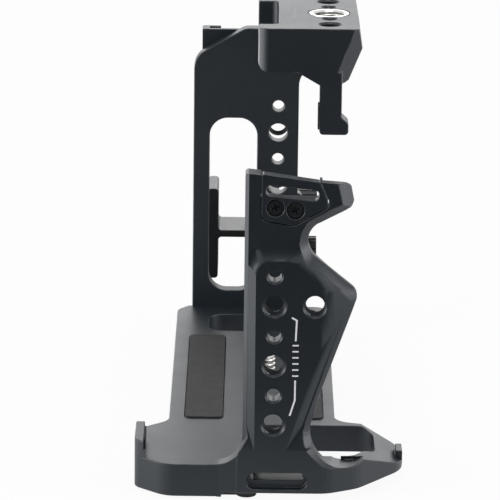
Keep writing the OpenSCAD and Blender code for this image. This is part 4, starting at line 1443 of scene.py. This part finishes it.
@dataclass
class AccessoryBridge:
    """The bridge with the accessory block, its steel insert, threads and printed mark."""

    cam_h: float = 96.8
    row_y: float = 15.6
    row_outer: float = 14.4
    insert_r: float = 3.97
    mark_at: tuple[float, float] = (6.2, 6.6)

    def build(self, shop: Workshop) -> None:
        """Builds the pieces.

        Args:
            shop: the shared workshop.
        """
        shop.machine("bridge", "accessory_bridge", "black_alloy", (EdgeBreak(0.3, 3, 34.0, self._not_mouth),))
        shop.machine("top_insert", "block_insert", "bright_steel", fine(0.12), finish="insert_steel")
        shop.machine("bridge_screws", "shoulder_screws", "black_steel", fine(0.08))
        shop.machine("leg_pad", "leg_rubber", "pad_rubber", (EdgeBreak(0.15, 2),))
        shop.thread("block_threads",
                    [((s * self.row_outer, self.row_y, self.cam_h - 9.6), Axis.UP) for s in (-1, 1)],
                    2.65, QUARTER_PITCH, 8.6, "black_alloy")
        shop.thread("block_insert_thread", [((0.0, self.row_y, self.cam_h - 8.6), Axis.UP)],
                    self.insert_r + 0.1, THREE8_PITCH, 7.7, "bright_steel", 0.42, finish="insert_steel")
        x, y = self.mark_at
        GrownPiece(shop.trees.marks).grow(
            "block_mark", [((x, y, self.cam_h), Axis.UP)], Body.FRAME, "black_alloy",
            {"Length": 0.3 * MM, "Width": 1.1 * MM, "Ink": 0.04 * MM, "Step": (-1.5 * MM, 0.0, 0.0),
             "Ticks": 9, "Finish": shop.finishes["grey_ink"]},
        )

    def _not_mouth(self, at: Vector) -> bool:
        """Whether an edge isn't at the mouth of a hole, which is bevelled already."""
        spots = [(0.0, 5.15), (-7.5, 1.6), (7.5, 1.6), (-self.row_outer, 2.55), (self.row_outer, 2.55)]
        close = any(math.hypot(at.x - x, at.y - self.row_y) < r + 0.65 for x, r in spots)
        return not (at.z > self.cam_h - 1 and close)


@dataclass
class SideFrame:
    """The side frame on the port side, its fasteners and the cold shoe on it."""

    left_in: float = -62.5
    column: tuple[tuple[float, float], ...] = ((3.4, 37.0), (3.4, 52.0))

    def build(self, shop: Workshop) -> None:
        """Builds the pieces.

        Args:
            shop: the shared workshop.
        """
        for node, name, slot, breaks in (
            ("side_frame", "port_side_frame", "black_alloy", (EdgeBreak(0.3, 3, 48.0),)),
            ("side_frame_screws", "side_screws", "black_steel", fine(0.08)),
            ("side_frame_dowels", "side_dowels", "bright_steel", fine(0.1)),
            ("cold_shoe", "shoe_rail", "black_alloy", (EdgeBreak(0.18, 2, 40.0),)),
            ("cold_shoe_screws", "shoe_screws", "black_steel", fine(0.06)),
        ):
            shop.machine(node, name, slot, breaks)
        holes = [((self.left_in - 0.3, y, z), Axis.OUT_OF_PORT_SIDE) for y, z in self.column]
        shop.thread("side_threads", holes, 2.65, QUARTER_PITCH, 3.5, "black_alloy")


@dataclass
class Underside:
    """What sits in the base from below: tripod insert, camera screw, hex key, magnets and feet."""

    screw_r: float = 3.175
    root_r: float = 2.66
    thread_end: float = 4.5

    def build(self, shop: Workshop) -> None:
        """Builds the pieces.

        Args:
            shop: the shared workshop.
        """
        shop.machine("tripod_insert", "base_insert", "bright_steel", fine(0.12))
        shop.thread("base_insert_thread", [((21.0, 0.0, -7.6), Axis.UP)], 4.07, THREE8_PITCH, 6.0,
                    "bright_steel", 0.42)
        shop.machine("camera_screw", "camera_screw_body", "bright_steel", fine(0.12), Body.SCREW,
                     self._cut_root)
        shop.thread("camera_screw_thread", [((0.0, 0.0, 0.25), Axis.UP)], self.root_r + 0.08, QUARTER_PITCH,
                    self.thread_end - 0.45, "bright_steel", self.screw_r - self.root_r - 0.09, Body.SCREW)
        GrownPiece(shop.trees.knurl).grow(
            "camera_screw_knurl", [((0.0, 0.0, -7.5), Axis.UP)], Body.SCREW, "bright_steel",
            {"Radius": 5.98 * MM, "Height": 2.4 * MM, "Rib": 0.2 * MM, "Ribs": 60,
             "Finish": shop.finishes["bright_steel"]},
        )
        pad = (EdgeBreak(0.15, 2),)
        for node, name, slot, breaks, body in (
            ("screw_washer", "screw_spacer", "washer_nylon", fine(0.1), Body.WASHER),
            ("hex_key", "hex_key_bar", "black_steel", (EdgeBreak(0.16, 2, 30.0),), Body.KEY),
            ("key_magnets", "key_magnet_discs", "magnet_nickel", fine(0.12), Body.FRAME),
            ("seat_pads", "seat_rubber", "pad_rubber", pad, Body.FRAME),
            ("lip_pad", "lip_rubber", "pad_rubber", pad, Body.FRAME),
            ("upright_pad", "upright_rubber", "pad_rubber", pad, Body.FRAME),
            ("rubber_feet", "foot_rubber", "pad_rubber", (EdgeBreak(0.3, 3, 50.0),), Body.FRAME),
        ):
            shop.machine(node, name, slot, breaks, body)

    def _cut_root(self, work: bmesh.types.BMesh) -> None:
        """Thins the screw's shank to the root of its thread.

        Args:
            work: the mesh in hand.
        """
        for vert in work.verts:
            radius = math.hypot(vert.co.x, vert.co.y) / MM
            if vert.co.z > -0.05 * MM and abs(radius - self.screw_r) < 0.02:
                vert.co.x *= self.root_r / radius
                vert.co.y *= self.root_r / radius


@dataclass
class CableClamp:
    """The cable clamp on the side frame, with its two jaws and thumb screws."""

    thumb_x: float = -78.5
    pitch: float = 0.7
    knob_rear: float = 8.7
    heights: dict[str, float] = field(default_factory=lambda: {"upper": 25.6, "lower": 11.6})
    thumb_r: float = 2.0
    root_r: float = 1.72

    def build(self, shop: Workshop) -> None:
        """Builds the pieces.

        Args:
            shop: the shared workshop.
        """
        shop.machine("clamp_body", "clamp_block", "clamp_alloy", (EdgeBreak(0.25, 3, 34.0),))
        shop.machine("clamp_mount_screw", "clamp_screw", "black_steel", fine(0.12))
        for side, z in self.heights.items():
            jaw, knob = Body[f"{side.upper()}_JAW"], Body[f"{side.upper()}_KNOB"]
            shop.machine(f"{side}_jaw", f"{side}_cable_jaw", "clamp_alloy", fine(0.15), jaw)
            shop.machine(f"{side}_knob", f"{side}_thumb_screw", "black_steel", (EdgeBreak(0.14, 2, 40.0),),
                         knob, lambda work, z=z: self._cut_root(work, z))
            shop.thread(f"{side}_thumb_thread", [((self.thumb_x, -1.6, z), Axis.FORWARD)],
                        self.root_r + 0.05, self.pitch, self.knob_rear + 1.2, "black_steel",
                        self.thumb_r - self.root_r - 0.06, knob)

    def _cut_root(self, work: bmesh.types.BMesh, z: float) -> None:
        """Thins a thumb screw's shank to the root of its thread.

        Args:
            work: the mesh in hand.
            z: the height of its axis in millimetres.
        """
        for vert in work.verts:
            dx, dz = vert.co.x / MM - self.thumb_x, vert.co.z / MM - z
            radius = math.hypot(dx, dz)
            if vert.co.y < (self.knob_rear - 0.2) * MM and abs(radius - self.thumb_r) < 0.02:
                vert.co.x = (self.thumb_x + dx * self.root_r / radius) * MM
                vert.co.z = (z + dz * self.root_r / radius) * MM


# ---- Studio ---------------------------------------------------------------------------------------


@dataclass(frozen=True)
class Softbox:
    """A soft lamp: where it is, what it is aimed at, its size and its power."""

    name: str
    at: Point
    aim: Point
    size: tuple[float, float]
    watts: float

    def place(self) -> None:
        """Adds the lamp to the scene."""
        lamp = bpy.data.lights.new(self.name, "AREA")
        lamp.shape, lamp.size, lamp.size_y, lamp.energy = "RECTANGLE", *self.size, self.watts
        holder = add_object(self.name, lamp)
        holder.location = self.at
        holder.rotation_euler = (Vector(self.aim) - Vector(self.at)).to_track_quat("-Z", "Y").to_euler()
        holder.visible_camera = False


@dataclass(frozen=True)
class Card:
    """A card that only reflections see: dark to darken the faces that look at it, or lit to brighten them."""

    name: str
    corners: tuple[Point, Point, Point, Point]
    glow: float = 0.0

    def place(self) -> None:
        """Adds the card to the scene."""
        mesh = bpy.data.meshes.new(self.name)
        mesh.from_pydata(self.corners, [], [(0, 1, 2, 3)])
        card = add_object(self.name, mesh)
        card.visible_camera = card.visible_diffuse = card.visible_shadow = card.visible_transmission = False
        material, nodes = blank_material(self.name)
        lit, out = nodes.add("ShaderNodeEmission"), nodes.add("ShaderNodeOutputMaterial")
        lit.inputs["Color"].default_value = (1.0, 1.0, 1.0, 1.0)
        lit.inputs["Strength"].default_value = self.glow
        nodes.put(lit.outputs[0], out.inputs["Surface"])
        card.data.materials.append(material)


@dataclass
class Studio:
    """The white floor, the white surroundings, the lamps, the reflection cards and the camera."""

    floor_z: float = -9.0
    eye: Point = (0.93356, -0.004, 0.28876)
    forward: Point = (-0.9646, 0.0, -0.2639)
    roll_deg: float = 0.7
    lens_mm: float = 266.4
    fill: float = 0.4
    floor_glow: float = 0.93
    lamps: tuple[Softbox, ...] = (
        Softbox("top_softbox", (0.1, 0.0, 1.2), (0.0, 0.0, 0.05), (0.5, 0.5), 3.0),
        Softbox("rear_softbox", (-1.3, 0.0, 0.42), (0.0, 0.0, 0.08), (1.3, 0.5), 4.0),
        Softbox("left_softbox", (0.3, -0.95, 0.23), (0.05, 0.0, 0.03), (0.62, 0.44), 8.8),
        Softbox("right_softbox", (0.3, 1.0, 0.23), (0.05, 0.0, 0.03), (0.55, 0.44), 5.8),
    )
    cards: tuple[Card, ...] = (
        Card("front_card", ((0.12, -0.05, -0.008), (2.2, -1.3, -0.008), (2.2, 1.3, -0.008),
                            (0.12, 0.05, -0.008)), 0.04),
        Card("back_wall_card", ((2.2, -1.3, -0.008), (2.2, 1.3, -0.008), (2.2, 1.3, 1.4),
                                (2.2, -1.3, 1.4)), 0.04),
        Card("left_card", ((-0.5, -0.9, -0.008), (0.09, -0.9, -0.008), (0.09, -0.09, -0.008),
                           (-0.5, -0.09, -0.008)), 3.6),
        Card("right_card", ((-0.5, 0.09, -0.008), (0.09, 0.09, -0.008), (0.09, 0.9, -0.008),
                            (-0.5, 0.9, -0.008)), 1.0),
    )

    def build(self) -> None:
        """Sets up the studio."""
        self._floor()
        self._surroundings()
        for thing in (*self.lamps, *self.cards):
            thing.place()
        self._camera()
        settings = bpy.context.scene.view_settings
        settings.view_transform = "Standard"

    def _floor(self) -> None:
        """Lays the pale floor, which keeps the object's shadow."""
        mesh = bpy.data.meshes.new("floor")
        z = self.floor_z * MM
        mesh.from_pydata([(-6, -6, z), (6, -6, z), (6, 6, z), (-6, 6, z)], [], [(0, 1, 2, 3)])
        floor = add_object("floor", mesh)
        material, nodes = blank_material("floor_paper")
        paper, glow = nodes.add("ShaderNodeBsdfDiffuse"), nodes.add("ShaderNodeEmission")
        paper.inputs["Color"].default_value = (0.86, 0.86, 0.87, 1.0)
        glow.inputs["Color"].default_value = (1.0, 1.0, 1.0, 1.0)
        mix, gone = nodes.add("ShaderNodeMixShader"), nodes.add("ShaderNodeMixShader")
        clear = nodes.add("ShaderNodeBsdfTransparent")
        nodes.put(nodes.math("MULTIPLY", nodes.seen_directly(), self.floor_glow), mix.inputs[0])
        nodes.put(paper.outputs[0], mix.inputs[1])
        nodes.put(glow.outputs[0], mix.inputs[2])
        nodes.put(nodes.add("ShaderNodeNewGeometry").outputs["Backfacing"], gone.inputs[0])
        nodes.put(mix.outputs[0], gone.inputs[1])
        nodes.put(clear.outputs[0], gone.inputs[2])
        nodes.put(gone.outputs[0], nodes.add("ShaderNodeOutputMaterial").inputs["Surface"])
        floor.data.materials.append(material)

    def _surroundings(self) -> None:
        """Makes the world plain white to the eye and in reflections, and a soft fill as light."""
        world = bpy.data.worlds.new("white_surroundings")
        world.use_nodes = True
        world.node_tree.nodes.clear()
        nodes = Nodes(world.node_tree)
        back, out = nodes.add("ShaderNodeBackground"), nodes.add("ShaderNodeOutputWorld")
        back.inputs["Color"].default_value = (1.0, 1.0, 1.0, 1.0)
        nodes.put(nodes.spread(nodes.seen_directly(), self.fill, 1.0), back.inputs["Strength"])
        nodes.put(back.outputs[0], out.inputs["Surface"])
        bpy.context.scene.world = world

    def _camera(self) -> None:
        """Places the camera at the grip side, a little above the cage."""
        ahead = Vector(self.forward).normalized()
        right = Vector((0.0, 1.0, 0.0))
        up = right.cross(ahead)
        turn = math.radians(self.roll_deg)
        across = right * math.cos(turn) + up * math.sin(turn)
        above = up * math.cos(turn) - right * math.sin(turn)
        data = bpy.data.cameras.new("grip_side_camera")
        data.lens, data.sensor_width, data.sensor_fit = self.lens_mm, 36.0, "HORIZONTAL"
        data.clip_start, data.clip_end = 0.05, 30.0
        camera = add_object("grip_side_camera", data)
        turned = Matrix((across, above, -ahead)).transposed().to_4x4()
        camera.matrix_world = Matrix.Translation(self.eye) @ turned
        bpy.context.scene.camera = camera


def main() -> None:
    """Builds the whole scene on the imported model."""
    logging.basicConfig(level=logging.INFO, format="%(name)s: %(message)s")
    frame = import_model()
    Studio().build()
    shop = Workshop(frame["nodes"], FinishSet(), GrowthTrees())
    for part in (BaseAndUpright(), StrapBracket(), AccessoryBridge(), SideFrame(), Underside(), CableClamp()):
        part.build(shop)
        log.info("%s finished", type(part).__name__)


if __name__ == "__main__":
    main()
